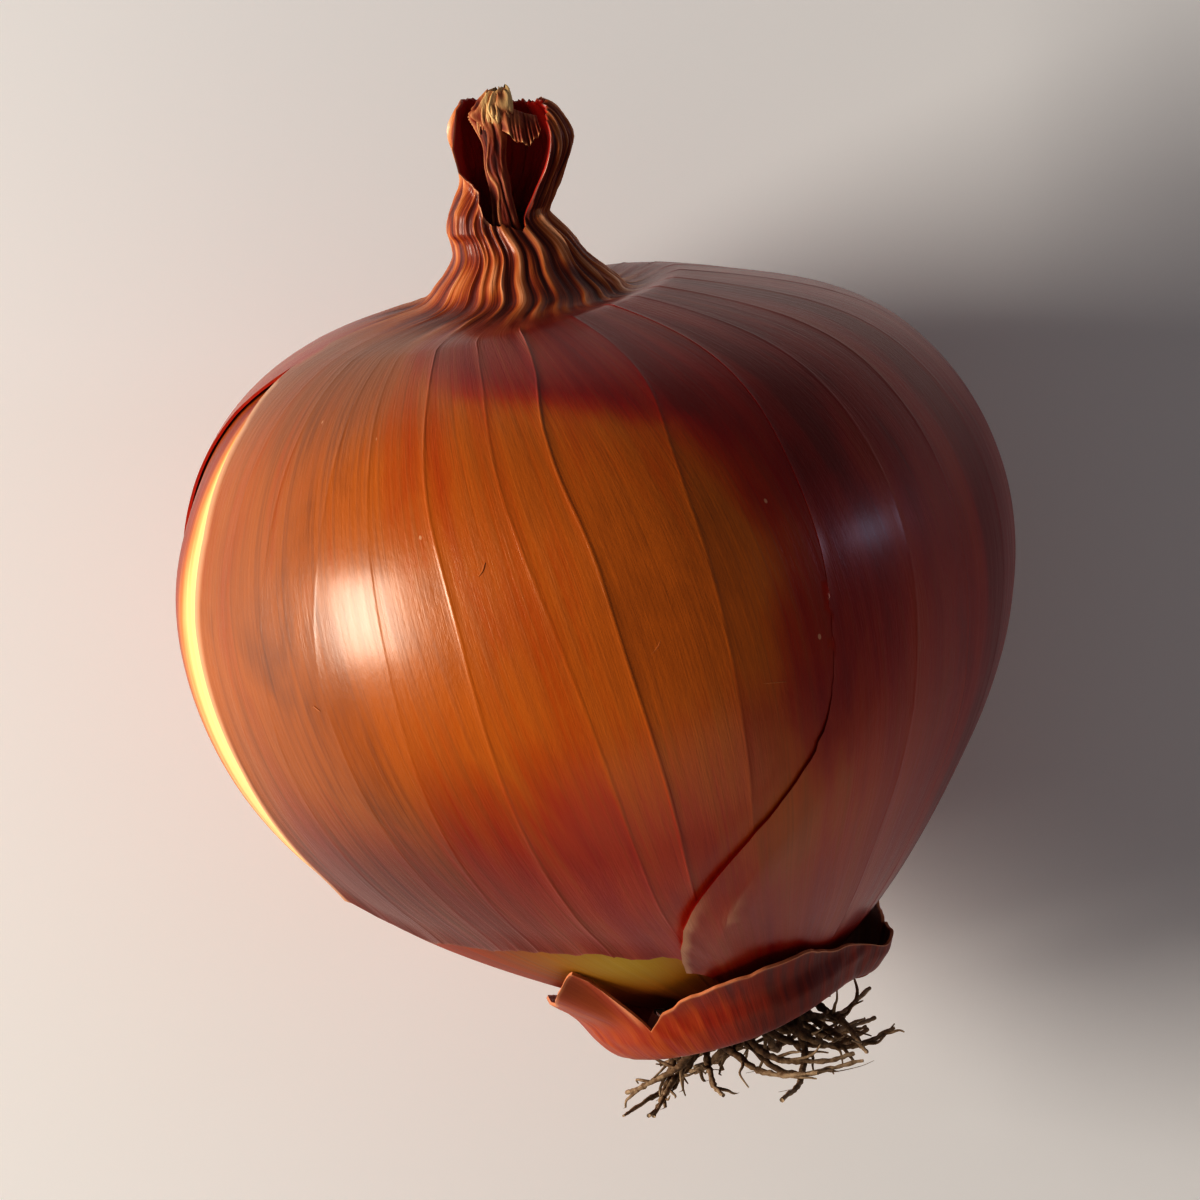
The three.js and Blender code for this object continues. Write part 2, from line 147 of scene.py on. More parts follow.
picture_right = Vector((math.cos(VIEW_LEAN), -math.sin(VIEW_LEAN), 0))
picture_up = Vector((math.sin(VIEW_LEAN), math.cos(VIEW_LEAN), 0))
for name, (right, up, out), distance, width, height, colour, watts in LAMPS:
    lamp_data = bpy.data.lights.new(name, "AREA")
    lamp_data.shape = "RECTANGLE"
    lamp_data.size, lamp_data.size_y = width, height
    lamp_data.color, lamp_data.energy = colour, watts
    lamp = bpy.data.objects.new(name, lamp_data)
    towards = (right * picture_right + up * picture_up + Vector((0, 0, out))).normalized()
    lamp.location = VIEW_MIDDLE + distance * towards
    lamp.rotation_euler = towards.to_track_quat("Z", "Y").to_euler()
    bpy.context.scene.collection.objects.link(lamp)

# The fleshy bulb fills the onion. Its own thin skin is moist and glossy, and shows in the
# long tear on the left and under the torn hem at the root end. In the tear it is cream next
# to the front edge of the dry skin, then orange and deep red further from that edge.
UNDER_SKIN, UNDER_NECK, TEAR_SWELL = 0.55, 1.2, 0.45
BULB_TURN_STEP = 1.5
BULB_ROWS, BULB_NECK_ROWS, BULB_END = 90, 25, 5.1
BULB_ABOVE_FLOOR = 0.6
HEM_COLOUR_FROM = (-16, -11)
GREEN_PATCH = {"turn": 114, "reach": 22, "height": -26, "rise": 5}
GREEN_FLESH = (0.42, 0.27, 0.015, 1)
# The flesh inside the neck is painted nearly black, as painted shade.
FLESH_SHADE_IN_NECK = (0.06, 0.008, 0.003, 1)

# Shapes are given in the onion's own frame, in millimetres and degrees: +Y along its axis
# to the neck, +Z up. A turn goes round that axis: 0 is right, 90 the top and 180 left.
MM_IN_A_METRE = 1000
BULB_MIDDLE = Vector((0.00099, -0.00398, 0.03598))
NECK_RISE = math.radians(10)
BULB_WIDTH, BULB_HALF_LENGTH, BULB_START = 80, 37.2, -0.25
FLATTENING = 0.98
FULLNESS = (0.976, 0.225, -0.078, 0.15)
ROOT_ANGLE, SHOULDER_ANGLE, SHOULDER_BEFORE = -66, 68, 8
SHOULDER_DROP, DROP_FROM = 0.07, 35
# The bulb leans to the left, more so towards its shoulder and less towards its root end.
LEAN, SHOULDER_LEAN, ROOT_LEAN = -1.3, -2.4, 1.3
LEAN_REACH, ROOT_LEAN_FROM = 33, 18
NECK_RINGS = [
    # height, radius, shift to the right, share of the way across that the ring drops
    (34.6, 12.3, -2.3, 0.16), (35.3, 9.3, -0.7, 0.14), (37.2, 7.2, -0.4, 0.10),
    (39.4, 5.55, 0.15, 0.11), (42.3, 4.45, -0.3, 0.19), (44.1, 4.3, 0.7, 0.25),
    (45.9, 4.4, 2.0, 0.24), (47.9, 5.1, 2.8, 0.23), (49.6, 5.35, 3.1, 0.25),
    (51.6, 4.7, 3.3, 0.24), (53.2, 3.6, 3.2, 0.26),
]
TEAR_TOP = 33.9
TEAR_FRONT = [(-13, 159.5), (1.5, 158), (16, 159.5), (23.4, 158.5), (30.5, 161.5), (TEAR_TOP, 168)]
TEAR_BACK = [(-36, 212), (-20, 208), (-8, 204), (5, 200), (16, 195), (25, 187), (31, 178),
             (TEAR_TOP, 168)]
BULB_GRAIN, SHOULDER_HEIGHT = 56, 34


def read_off(pairs, where):
    """Values read off a list of (place, value) pairs, straight between one and the next."""
    places, values = zip(*pairs)
    return np.interp(where, places, values)


def eased(value, low, high):
    """0 up to a low value, 1 past a high one, and a smooth step between them."""
    share = np.clip((value - low) / (high - low), 0, 1)
    return share * share * (3 - 2 * share)


def curve_through(rows, step):
    """A smooth curve through rows of numbers, where step 0 is the second row."""
    rows = np.asarray(rows, float)
    first = np.clip(np.floor(step), 0, len(rows) - 4).astype(int)
    t = (step - first)[..., None]
    a, b, c, d = (rows[first + k] for k in range(4))
    bend = 2 * a - 5 * b + 4 * c - d
    return 0.5 * (2 * b + (c - a) * t + bend * t ** 2 + (3 * b - a - 3 * c + d) * t ** 3)


def bulb_ring(angle):
    """The ring of the bulb at an angle from its middle: height, radius, shift and drop."""
    sine = np.sin(np.radians(angle))
    height = BULB_START + BULB_HALF_LENGTH * sine
    fullness = sum(share * sine ** power for power, share in enumerate(FULLNESS))
    radius = BULB_WIDTH / 2 * np.cos(np.radians(angle)) * fullness
    lean = LEAN + SHOULDER_LEAN * (np.maximum(height, 0) / LEAN_REACH) ** 2
    lean += ROOT_LEAN * eased(-height, ROOT_LEAN_FROM, LEAN_REACH)
    drop = SHOULDER_DROP * eased(angle, DROP_FROM, SHOULDER_ANGLE)
    return np.stack([height, radius, lean, drop + 0 * radius], -1)


neck_rows = np.array([bulb_ring(np.float64(SHOULDER_ANGLE - SHOULDER_BEFORE)),
                      bulb_ring(np.float64(SHOULDER_ANGLE)), *NECK_RINGS, NECK_RINGS[-1]])


def ring_at(place):
    """Place 0 to 1 is the bulb from root end to shoulder, and each step past 1 a neck ring."""
    angle = ROOT_ANGLE + (SHOULDER_ANGLE - ROOT_ANGLE) * np.minimum(place, 1)
    return np.where((place > 1)[..., None],
                    curve_through(neck_rows, np.maximum(place - 1, 0)), bulb_ring(angle))


def place_of(height):
    """The place on the bulb that lies at a height."""
    angle = np.degrees(np.arcsin(np.clip((height - BULB_START) / BULB_HALF_LENGTH, -1, 1)))
    return (angle - ROOT_ANGLE) / (SHOULDER_ANGLE - ROOT_ANGLE)


def smooth_point(turn, place):
    """A point on the smooth form of the onion."""
    height, radius, shift, drop = np.moveaxis(ring_at(place), -1, 0)
    across = radius * np.cos(np.radians(turn))
    deep = FLATTENING * radius * np.sin(np.radians(turn))
    return np.stack([shift + across, height - drop * across, deep], -1)


def outwards(turn, place):
    """The way straight out of the smooth form."""
    small = 0.01
    around = smooth_point(turn + small, place) - smooth_point(turn - small, place)
    along = smooth_point(turn, place + small) - smooth_point(turn, place - small)
    normal = np.cross(along, around)
    return normal / np.linalg.norm(normal, axis=-1, keepdims=True)


def point_at(turn, place, distance):
    """A point at a distance outside the smooth form of the onion, or inside it if negative."""
    return smooth_point(turn, place) + outwards(turn, place) * distance[..., None]


def in_frame(points, above_floor=0.0):
    """Points of the onion's own frame as points of the model, kept above the floor."""
    x, y, z = np.moveaxis(points, -1, 0)
    level, high = math.cos(NECK_RISE), math.sin(NECK_RISE)
    made = np.stack([x, level * y - high * z, high * y + level * z], -1) / MM_IN_A_METRE
    made += np.array(BULB_MIDDLE)
    made[..., 2] = np.maximum(made[..., 2], above_floor / MM_IN_A_METRE)
    return made


def painted(made, **values):
    """Stores a value or a vector at each point of a piece, for its finish to read."""
    for name, value in values.items():
        flat = np.asarray(value, np.float32)
        is_vector = flat.size == 3 * len(made.data.vertices)
        kind, field = ("FLOAT_VECTOR", "vector") if is_vector else ("FLOAT", "value")
        layer = made.data.attributes.new(name, kind, "POINT")
        layer.data.foreach_set(field, flat.ravel())
    return made


def grid_faces(rows, columns, closed):
    """Faces over a grid of points whose rows go along and whose columns go round."""
    number = np.arange(rows * columns).reshape(rows, columns)
    if closed:
        number = np.hstack([number, number[:, :1]])
    corners = number[:-1, :-1], number[1:, :-1], number[1:, 1:], number[:-1, 1:]
    return np.stack(corners, -1).reshape(-1, 4).tolist()


def along_grain(turn, place):
    """Where a point lies on the unrolled skin, in millimetres, with no seam round it."""
    height = ring_at(place)[..., 0]
    long = np.where(place > 1, BULB_GRAIN + height - SHOULDER_HEIGHT, BULB_GRAIN * place)
    return np.stack([BULB_WIDTH / 2 * np.cos(np.radians(turn)),
                     BULB_WIDTH / 2 * np.sin(np.radians(turn)), long], -1)


def patch_of(turn, height, patch):
    """How much of a soft round patch of colour lies at each turn and height."""
    across, along = (turn - patch["turn"]) / patch["reach"], (height - patch["height"]) / patch["rise"]
    return np.exp(-across ** 2 - along ** 2)


def value_of(tree, name):
    """A value painted on a piece."""
    made = node(tree, "ShaderNodeAttribute", {}, attribute_name=name)
    return made.outputs["Fac"]


def streaked(tree, along):
    """The grain of a skin with its length drawn in, so that noise runs in long streaks."""
    grain = node(tree, "ShaderNodeAttribute", {}, attribute_name="grain").outputs["Vector"]
    drawn = node(tree, "ShaderNodeVectorMath", {0: grain, 1: (1, 1, along)},
                 operation="MULTIPLY")
    return drawn.outputs["Vector"]


def blended(tree, factor, first, second):
    """One colour turning into another as the factor goes from 0 to 1."""
    made = node(tree, "ShaderNodeMix", {0: factor, 6: first, 7: second}, data_type="RGBA")
    return made.outputs[2]


def ranged(tree, value, low, high, to_low=0.0, to_high=1.0):
    """A value that goes smoothly from to_low to to_high as another goes from low to high."""
    made = node(tree, "ShaderNodeMapRange", {
        "Value": value, "From Min": low, "From Max": high, "To Min": to_low,
        "To Max": to_high}, interpolation_type="SMOOTHSTEP")
    return made.outputs["Result"]


def sums(tree, operation, first, second):
    """Two values added, multiplied or compared."""
    made = node(tree, "ShaderNodeMath", {0: first, 1: second}, operation=operation)
    return made.outputs["Value"]


def bumped(tree, shader, height, depth):
    """Raises the finish by a height from 0 to 1, worth so many metres."""
    bump = node(tree, "ShaderNodeBump", {"Height": height, "Distance": depth, "Strength": 1.0})
    tree.links.new(bump.outputs["Normal"], shader.inputs["Normal"])


bulb_finish, tree, shader = new_finish(
    "moist_bulb_skin", Specular_IOR_Level=0.4, Coat_Weight=0.0)
streaks = noise_at(tree, streaked(tree, 0.05), 0.9, 5, 0.6)
bare = value_of(tree, "bare")
frayed = sums(tree, "ADD", bare, ranged(tree, streaks, 0.3, 0.7, -0.03, 0.03))
slit_colour = ramp(tree, frayed, [
    (0.0, (0.97, 0.74, 0.36)), (0.22, (0.92, 0.62, 0.22)), (0.32, (0.66, 0.20, 0.02)),
    (0.45, (0.34, 0.035, 0.004)), (0.62, (0.24, 0.022, 0.003)), (1.0, (0.42, 0.10, 0.012))])
hem_colour = ramp(tree, streaks, [(0.35, (0.22, 0.016, 0.002)), (0.65, (0.36, 0.048, 0.004))])
green = blended(tree, value_of(tree, "green"), hem_colour, GREEN_FLESH)
colour = blended(tree, value_of(tree, "hem"), slit_colour, green)
# Up in the neck the flesh is painted nearly black: painted shade in the neck's hollow.
colour = blended(tree, value_of(tree, "deep"), colour, FLESH_SHADE_IN_NECK)
tree.links.new(colour, shader.inputs["Base Color"])
polish = ranged(tree, streaks, 0.3, 0.7, 0.30, 0.40)
tree.links.new(sums(tree, "ADD", polish, sums(tree, "MULTIPLY", value_of(tree, "hem"), 0.2)),
               shader.inputs["Roughness"])
bumped(tree, shader, streaks, 0.00005)

bulb_places = np.concatenate([np.linspace(0, 1, BULB_ROWS),
                              np.linspace(1, BULB_END, BULB_NECK_ROWS)[1:]])
turn, place = np.meshgrid(np.arange(0, 360, BULB_TURN_STEP), bulb_places)
height = ring_at(place)[..., 0]
front, back = read_off(TEAR_FRONT, height), read_off(TEAR_BACK, height)
open_share = (turn - front) / np.maximum(back - front, 1)
swell = TEAR_SWELL * eased(open_share, 0, 0.4) * eased(1 - open_share, 0, 0.4)
swell *= 1 - eased(place, 0.65, 0.9)
sunk = UNDER_SKIN + (UNDER_NECK - UNDER_SKIN) * eased(place, 0.95, 1.4)
points = in_frame(point_at(turn, place, swell - sunk), BULB_ABOVE_FLOOR)
rows, columns = turn.shape
faces = grid_faces(rows, columns, closed=True)
faces += [list(range(columns)), [(rows - 1) * columns + k for k in reversed(range(columns))]]
bulb = object_of("fleshy_bulb", points.reshape(-1, 3), faces, bulb_finish)
bulb.data.shade_smooth()
painted(bulb, grain=along_grain(turn, place), bare=open_share,
        hem=1 - eased(height, *HEM_COLOUR_FROM), green=patch_of(turn, height, GREEN_PATCH),
        deep=eased(place, 1.0, 1.5))
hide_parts("inner_bulb")
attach(bulb, "root")

# The outer skin is one dry papery sheet, grown as a leaf that wrapped the bulb and ran up
# into the neck, where it dried into folds. It is torn open down the left, hangs in a ragged
# hem over the root end, and its fibres and veins all run lengthwise. Its mouth is torn too.
SHEET, NECK_SHEET = 0.28, 0.43
SKIN_ABOVE_FLOOR = 0.3
HEM = [
    # turn and the height that the torn hem reaches
    (-160, -22), (-150, -29), (-135, -34), (60, -34.5), (92, -33), (99, -27.5), (104, -25.6),
    (108, -25.0), (116, -22.9), (122, -22.1), (129, -20.9), (136, -20.6), (143, -19.4),
    (150, -18.9), (153.5, -17.4), (156.5, -15.6), (159, -13.2), (160.5, -12.8),
]
HEM_REACH = 0.55
HEM_TORN_FROM = (90, 104)
# The mouth of the neck: turn, and the place up the neck that its torn edge reaches.
MOUTH = [
    (0, 10.7), (20, 10.6), (38, 10.2), (46, 9.8), (50, 9.0), (53, 7.5), (55, 6.2), (57, 5.3),
    (62, 4.9), (68, 4.75), (80, 4.9), (95, 5.0), (106, 5.2), (112, 5.55), (120, 6.1),
    (127, 6.55), (140, 6.9), (152, 7.2), (159, 7.6), (162, 8.2), (165, 9.6), (168, 10.4),
    (175, 10.9), (205, 11.0), (230, 10.8), (270, 10.6), (300, 10.45), (340, 10.7), (360, 10.7),
]
MOUTH_FOOT = 4.6
MOUTH_ROUGHNESS = [(8, 0.13, 3), (25, 0.12, 4)]
# Veins: how high they stand, and their turn at each height. Others run over the hidden side.
VEINS = [
    (0.10, [(-30, 8), (30, 4)]),
    (0.09, [(-30, 21), (30, 17)]),
    (0.12, [(-30, 31), (0, 34), (30, 30)]),
    (0.09, [(-30, 50), (0, 46), (30, 42)]),
    (0.10, [(-20, 78), (5, 76), (20.5, 73.4), (25.3, 70.6), (31, 65.8)]),
    (0.20, [(-24, 90.5), (-9, 89.1), (0, 89.4), (8.4, 89.5), (17, 88.6), (24.7, 89.9),
            (30.9, 86.7), (35, 80)]),
    (0.10, [(-24, 97.5), (-5.5, 96.3), (8, 97), (25.6, 98.5), (34, 95)]),
    (0.14, [(-24, 113), (-12, 112), (2, 110.5), (14, 109.2), (26, 109.8), (34, 107)]),
    (0.07, [(-20, 126), (9, 121), (33, 119)]),
    (0.05, [(-20, 134), (12, 132.5), (33, 125)]),
    (0.06, [(-18, 147), (5, 145), (33, 137)]),
    (0.04, [(-14, 155), (10, 152), (33, 147)]),
]
# How high a vein would be to carry the full painted highlight of one.
VEIN_FULL_HIGHLIGHT = 0.26
FRONT_VEINS = 8
VEIN_WIDTH = 0.32
VEIN_LINES = (-1, -0.5, 0, 0.5, 1)
VEIN_STAND = 0.6
PLATE_STEP = 0.12
HIDDEN_VEIN_GAP, HIDDEN_VEIN_HEIGHT, HIDDEN_VEIN_SWAY = 16, 0.10, 2
# The edge of the sheet that laps over the front one, as its turn at each height, the lines
# of points beside it, and how far its lip stands up at each height.
LAP_EDGE = [
    (-36, 102), (-28.5, 101.5), (-25, 99.5), (-20.3, 90.5), (-16.1, 80), (-12.7, 71), (-9.2, 65),
    (-5.3, 62.6), (3.5, 60.8), (10, 58.8), (16, 58.2), (33, 52),
]
LAP_LINES = (-9, -6, -4, -2.6, -1.4, -0.5, 0)
LIP = [(-29, 0.7), (-27, 1.0), (-24, 0.85), (-20, 0.35), (-16, 0.12), (-12, 0.0)]
LIP_WIDTH = 9
LAP_REACH, LAP_RIDGE, LAP_STAND, LAP_SINK, LAP_TUCK = 0.5, 0.12, 0.15, 0.12, 2.5
PLEAT_TOP, PLEAT_FADE = -1, 9
HIDDEN_BELOW = -20
COLUMN_STEP, HIDDEN_COLUMN_STEP = 1.0, 1.8
SHEET_ROWS = {"bulb": 90, "neck": 32, "lobes": 36}
HEM_LOWEST = -34.5
SEAM_GAP = 1e-6
# The dried folds of the neck, coarse to fine: how many go round, and how high they stand.
FOLDS = [(14, 0.34), (31, 0.36), (67, 0.20)]
FOLD_WANDER = 0.9
# One fold and one bulge of the neck by themselves, with the places that they run between.
FRONT_FOLD = {"path": [(3.3, 47), (4.4, 46), (5.3, 43), (6.3, 39)], "reach": 7, "height": 0.5,
              "along": (3.4, 4.4, 6.0, 6.6)}
LEFT_BULGE = {"turn": 146, "reach": 30, "height": 0.55, "along": (5.5, 5.8, 6.3, 7.6)}
# Between two veins the skin is a little flat, and the whole skin is faintly faceted.
FLATNESS, WIDEST_FLAT = 0.12, 16
FACETS = 0.05
BULB_LENGTHWISE, MM_TO_A_RING = 92, 1.9
TEAR_CURL = {"lift": 0.35, "reach": 5.0}
HEM_CURL = {"lift": 0.6, "reach": 3.5}
MOUTH_CURL = {"lift": 0.55, "reach": 1.1, "elsewhere": -0.1}
LEFT_LOBE = (100, 118, 166, 172)
# The skin is bronze on the upper left, as far as an edge given by its turn at each height.
BRONZE_EDGE = [(-34, 92), (-24, 84), (-12, 74), (0, 68), (12, 62), (24, 69), (28.5, 86), (31, 100),
               (34, 112), (38, 124)]
BRONZE_SOFT = 9
# A painted pool of warm light, as if bounced up from below, low on the right.
BOUNCE_LIGHT_PATCH = {"turn": 66, "reach": 13, "height": -15, "rise": 8}
PAINTED_SHEEN_COLOUR = (0.34, 0.13, 0.06, 1)
SHADE_AND_STAIN_COLOUR = (0.05, 0.006, 0.0, 1)
DUST_COLOUR = (0.75, 0.48, 0.30, 1)
VEIN_HIGHLIGHT_COLOUR = (0.60, 0.22, 0.05, 1)
PALE_EDGE_AND_HIGHLIGHT_COLOUR = (0.78, 0.42, 0.24, 1)
INSIDE_RED_AND_GLOW_COLOUR = (0.48, 0.014, 0.002, 1)


def rough(values, scale, seed):
    """Smooth noise from -1 to 1 at each value."""
    flat = np.ravel(values)
    made = [noise.noise(Vector((scale * value, seed, 0.37 * seed))) for value in flat]
    return np.reshape(made, np.shape(values))


def rough_round(turn, along, scale, seed):
    """Smooth noise from -1 to 1 at each turn, which meets itself after a whole turn."""
    turns = np.radians(np.ravel(turn))
    made = [noise.noise(Vector((scale * math.cos(t), scale * math.sin(t), a + seed)))
            for t, a in zip(turns, np.ravel(along + 0 * turn))]
    return np.reshape(made, np.shape(turn))


def closeness(turn, middle, reach):
    """1 at a middle turn, fading smoothly to 0 on both sides of it."""
    return np.exp(-((turn - middle) / reach) ** 2)


def between(value, start, full, fading, end):
    """1 along a stretch, with a smooth step up at its start and down at its end."""
    return eased(value, start, full) * (1 - eased(value, fading, end))


def folds(turn, place, count):
    """Dried folds that run lengthwise and wander, from 0 to 1 on their crests.

    Each crest is sharp and has a height of its own, which changes along it.
    """
    phase = count * turn / 360 + FOLD_WANDER * rough_round(turn, 0.17 * place, 2.1, count)
    number = 360 / count * np.mod(np.floor(phase), count)
    own = 0.5 + 1.2 * rough_round(number, 0.6 * place, 0.3 * count, 2 * count)
    return (1 - np.abs(2 * np.mod(phase, 1) - 1)) ** 2 * np.clip(own, 0.2, 1)


def skin_height(turn, place, crests):
    """How far the outer face of the skin stands out from the smooth form."""
    gathered, fanned = eased(place, 1.3, 3.0), eased(place, 1.0, 2.6)
    made = sum(height * crest * (fanned if k == 1 else gathered)
               for k, ((_, height), crest) in enumerate(zip(FOLDS, crests)))
    around = np.mod(turn, 360)
    on_fold = closeness(around, read_off(FRONT_FOLD["path"], place), FRONT_FOLD["reach"])
    made += FRONT_FOLD["height"] * on_fold * between(place, *FRONT_FOLD["along"])
    on_bulge = closeness(around, LEFT_BULGE["turn"], LEFT_BULGE["reach"])
    made += LEFT_BULGE["height"] * on_bulge * between(place, *LEFT_BULGE["along"])
    facets = np.sin(np.radians(5 * turn + 20)) + np.sin(np.radians(9 * turn + 100))
    return made + FACETS * facets * (1 - eased(place, 0.8, 1.1)) * eased(place, 0.1, 0.4)


veins = [(HIDDEN_VEIN_HEIGHT, [(-30, turn + HIDDEN_VEIN_SWAY), (30, turn - HIDDEN_VEIN_SWAY)])
         for turn in range(-136, -6, HIDDEN_VEIN_GAP)] + VEINS
vein_reach = math.degrees(VEIN_WIDTH / (BULB_WIDTH / 2))
# Every column of the skin runs between two stops: the edges of the tear, five lines along
# each vein, and the pleat where the right-hand sheet lies over the front one. A stop is its
# path, how far beside that it runs, which vein it belongs to, and how near its middle.
stops = [(TEAR_BACK, -360, None, 0)]
for number, (_, path) in enumerate(veins):
    if number == len(veins) - FRONT_VEINS:
        stops += [(LAP_EDGE, beside, None, 0) for beside in LAP_LINES]
        tucked = len(stops)
        stops.append((LAP_EDGE, 0, None, 0))
    stops += [(path, share * vein_reach, number, 1 - abs(share)) for share in VEIN_LINES]
stops.append((TEAR_FRONT, 0, None, 0))


def smoothed(path, height):
    """A path read off with its corners rounded, except where it is an edge of the tear."""
    if path is TEAR_BACK or path is TEAR_FRONT:
        return read_off(path, height)
    return sum(read_off(path, height + offset) for offset in (-4, -2.5, -1, 1, 2.5, 4)) / 6


def stop_turn(number, height):
    """Where a stop is at a height. In front of the pleat it never runs under the lap."""
    path, beside, _, _ = stops[number]
    turn = smoothed(path, height) + beside
    ragged = LAP_REACH * rough(height, 0.9, 11) * eased(8 - height, 0, 6)
    if path is LAP_EDGE:
        turn = turn + ragged
    if number < tucked:
        return turn
    under = smoothed(LAP_EDGE, height) + ragged - LAP_TUCK * eased(PLEAT_TOP - height, 0, 8)
    return np.maximum(turn, under + 0.15 * (number - tucked)) if number > tucked else under


columns = []
for number in range(len(stops) - 1):
    start = float(stop_turn(number, np.array([0.0]))[0])
    wide = float(stop_turn(number + 1, np.array([0.0]))[0]) - start
    parts = round(wide / (COLUMN_STEP if start > HIDDEN_BELOW else HIDDEN_COLUMN_STEP))
    parts = 1 if number + 1 == tucked else max(1, parts)
    columns += [(number, part / parts) for part in range(parts)]
columns.append((len(stops) - 2, 1.0))
lap_column = columns.index((tucked - 1, 0.0))


def skin_turns(height):
    """The turn of every column where its points lie at these heights."""
    turns = [(1 - share) * stop_turn(number, height[:, k])
             + share * stop_turn(number + 1, height[:, k])
             for k, (number, share) in enumerate(columns)]
    return np.stack(turns, -1)


def skin_places(turn):
    """The place of every point of the skin: up from the hem, then the neck, then the mouth."""
    along = np.linspace(0, 1, SHEET_ROWS["bulb"])[:, None]
    hem_turn = turn[0]
    torn = HEM_REACH * rough(hem_turn, 0.35, 1) + 0.5 * HEM_REACH * rough(hem_turn, 1.1, 2)
    hem = place_of(read_off(HEM, hem_turn) + torn * eased(hem_turn, *HEM_TORN_FROM))
    first = place_of(HEM_LOWEST)
    on_bulb = first + (1 - first) * along + (hem - first) * np.maximum(0, 1 - along / 0.8) ** 2
    foot = 1 + MOUTH_FOOT
    in_neck = np.linspace(1, foot, SHEET_ROWS["neck"] + 1)[1:, None] + 0 * hem_turn
    mouth = 1 + read_off(MOUTH, np.mod(turn[-1], 360))
    ragged = sum(reach * rough_round(turn[-1], 0, scale, seed)
                 for scale, reach, seed in MOUTH_ROUGHNESS)
    ragged *= 1 - 0.75 * between(np.mod(turn[-1], 360), 95, 110, 165, 175)
    mouth = np.maximum(mouth + ragged, foot + 0.04)
    share = np.linspace(0, 1, SHEET_ROWS["lobes"] + 1)[1:, None]
    return np.concatenate([on_bulb, in_neck, foot * (1 - share) + mouth * share])


heights = np.linspace(HEM_LOWEST, TEAR_TOP + 1, SHEET_ROWS["bulb"])
heights = np.concatenate([heights, np.full(SHEET_ROWS["neck"] + SHEET_ROWS["lobes"], 40.0)])
height = np.repeat(heights[:, None], len(columns), 1)
for _ in range(3):
    turn = skin_turns(height)
    place = skin_places(turn)
    height = ring_at(place)[..., 0]
turn[SHEET_ROWS["bulb"]:] = turn[SHEET_ROWS["bulb"]]

ridge, plate = np.zeros(turn.shape), np.zeros(turn.shape)
for k, (number, share) in enumerate(columns):
    wide = stop_turn(number + 1, height[:, k]) - stop_turn(number, height[:, k])
    wide = np.radians(np.minimum(wide, WIDEST_FLAT))
    plate[:, k] -= FLATNESS * BULB_WIDTH / 4 * wide ** 2 * share * (1 - share)
    _, beside, owner, near = stops[number]
    if owner is None:
        continue
    if share == 0:
        free = 1 if number < tucked else eased(turn[:, k] - turn[:, lap_column], 1, 5)
        ridge[:, k] = veins[owner][0] * near ** 1.6 * free
    if beside >= 0:
        leaves = stops[number + 1][2] != owner
        plate[:, k] += PLATE_STEP * veins[owner][0] * (1 - share if leaves else 1)
ridge[:, lap_column] = LAP_RIDGE * eased(height[:, lap_column], -8, 2)
ridge *= VEIN_STAND * (1 - eased(place, 0.98, 1.5)) * (0.75 + 0.25 * rough(height, 0.3, 5))
plate *= 1 - eased(place, 0.9, 1.1)
lap_turn = turn[:, lap_column:lap_column + 1]
on_lap = np.arange(len(columns)) <= lap_column
below_pleat = 1 - eased(height, PLEAT_TOP - PLEAT_FADE, PLEAT_TOP)
lapping = on_lap * below_pleat
over = LAP_STAND * lapping * eased(turn, 5, 50)
lip_lift = read_off(LIP, height) * np.maximum(0, 1 - (lap_turn - turn) / LIP_WIDTH) ** 2 * lapping
under = LAP_SINK * (1 - lapping) * (1 - eased(turn - lap_turn, 2, 8)) * below_pleat
beside_tear = np.maximum(0, 1 - (turn[:, -1:] - turn) / TEAR_CURL["reach"]) ** 2
beside_tear *= 1 - eased(height, 22, 31)
above_hem = (place - place[:1]) * BULB_LENGTHWISE
beside_hem = np.maximum(0, 1 - above_hem / HEM_CURL["reach"]) ** 2 * eased(turn, 96, 112)
beside_hem *= 0.6 + 0.4 * rough(turn, 0.11, 6)
to_mouth = (place[-1:] - place) * MM_TO_A_RING
lip = np.maximum(0, 1 - to_mouth / MOUTH_CURL["reach"]) ** 2 * eased(place, 5.7, 6.2)
whole_turn = np.mod(turn, 360)
rolled = MOUTH_CURL["lift"] * between(whole_turn, *LEFT_LOBE) + MOUTH_CURL["elsewhere"]
crests = [folds(turn, place, count) for count, _ in FOLDS]
stand = skin_height(turn, place, crests) + ridge + plate + over + lip_lift - under
stand += TEAR_CURL["lift"] * beside_tear + HEM_CURL["lift"] * beside_hem + lip * rolled
outer = point_at(turn, place, stand)
thick = SHEET + (NECK_SHEET - SHEET) * eased(place, 1.5, 3)
inner = point_at(turn, place, stand - thick * (1 - 0.5 * np.maximum(beside_tear, lip)))

# The torn edges of the skin are pale: the hem's, the tear's, the mouth's and the lap's.
# Low down, the lap's lifted lip is painted paler still, as a painted highlight.
edge = np.maximum(0.3 * np.maximum(0, 1 - above_hem / 0.5) * eased(turn, *HEM_TORN_FROM),
                  np.maximum(0, 1 - (turn[:, -1:] - turn) / 0.8) * (place < 0.97))
pale_rim = 0.25 + 0.75 * between(whole_turn, 96, 112, 164, 172)
edge = np.maximum(edge, pale_rim * np.maximum(0, 1 - to_mouth / 0.5) * (place > 5.4))
by_lap = np.maximum(0, 1 - (lap_turn - turn) / 1.5) * on_lap
edge = np.maximum(edge, 0.12 * (by_lap == 1) * eased(-height, -20, 6))
# Painted highlight on the lap's lifted lip.
edge = np.maximum(edge, by_lap * eased(-height, 17, 24))
in_neck = eased(place, 1.2, 2.4)
# In the neck the crests of the folds are painted pale and their valleys dark: painted highlights and
# painted shade.
crest = 0.40 * crests[0] + 0.50 * crests[1] + 0.30 * crests[2]
on_fold = closeness(whole_turn, read_off(FRONT_FOLD["path"], place), FRONT_FOLD["reach"])
crest += 0.45 * on_fold * eased(place, 3.6, 4.6) * (place < 6.6)
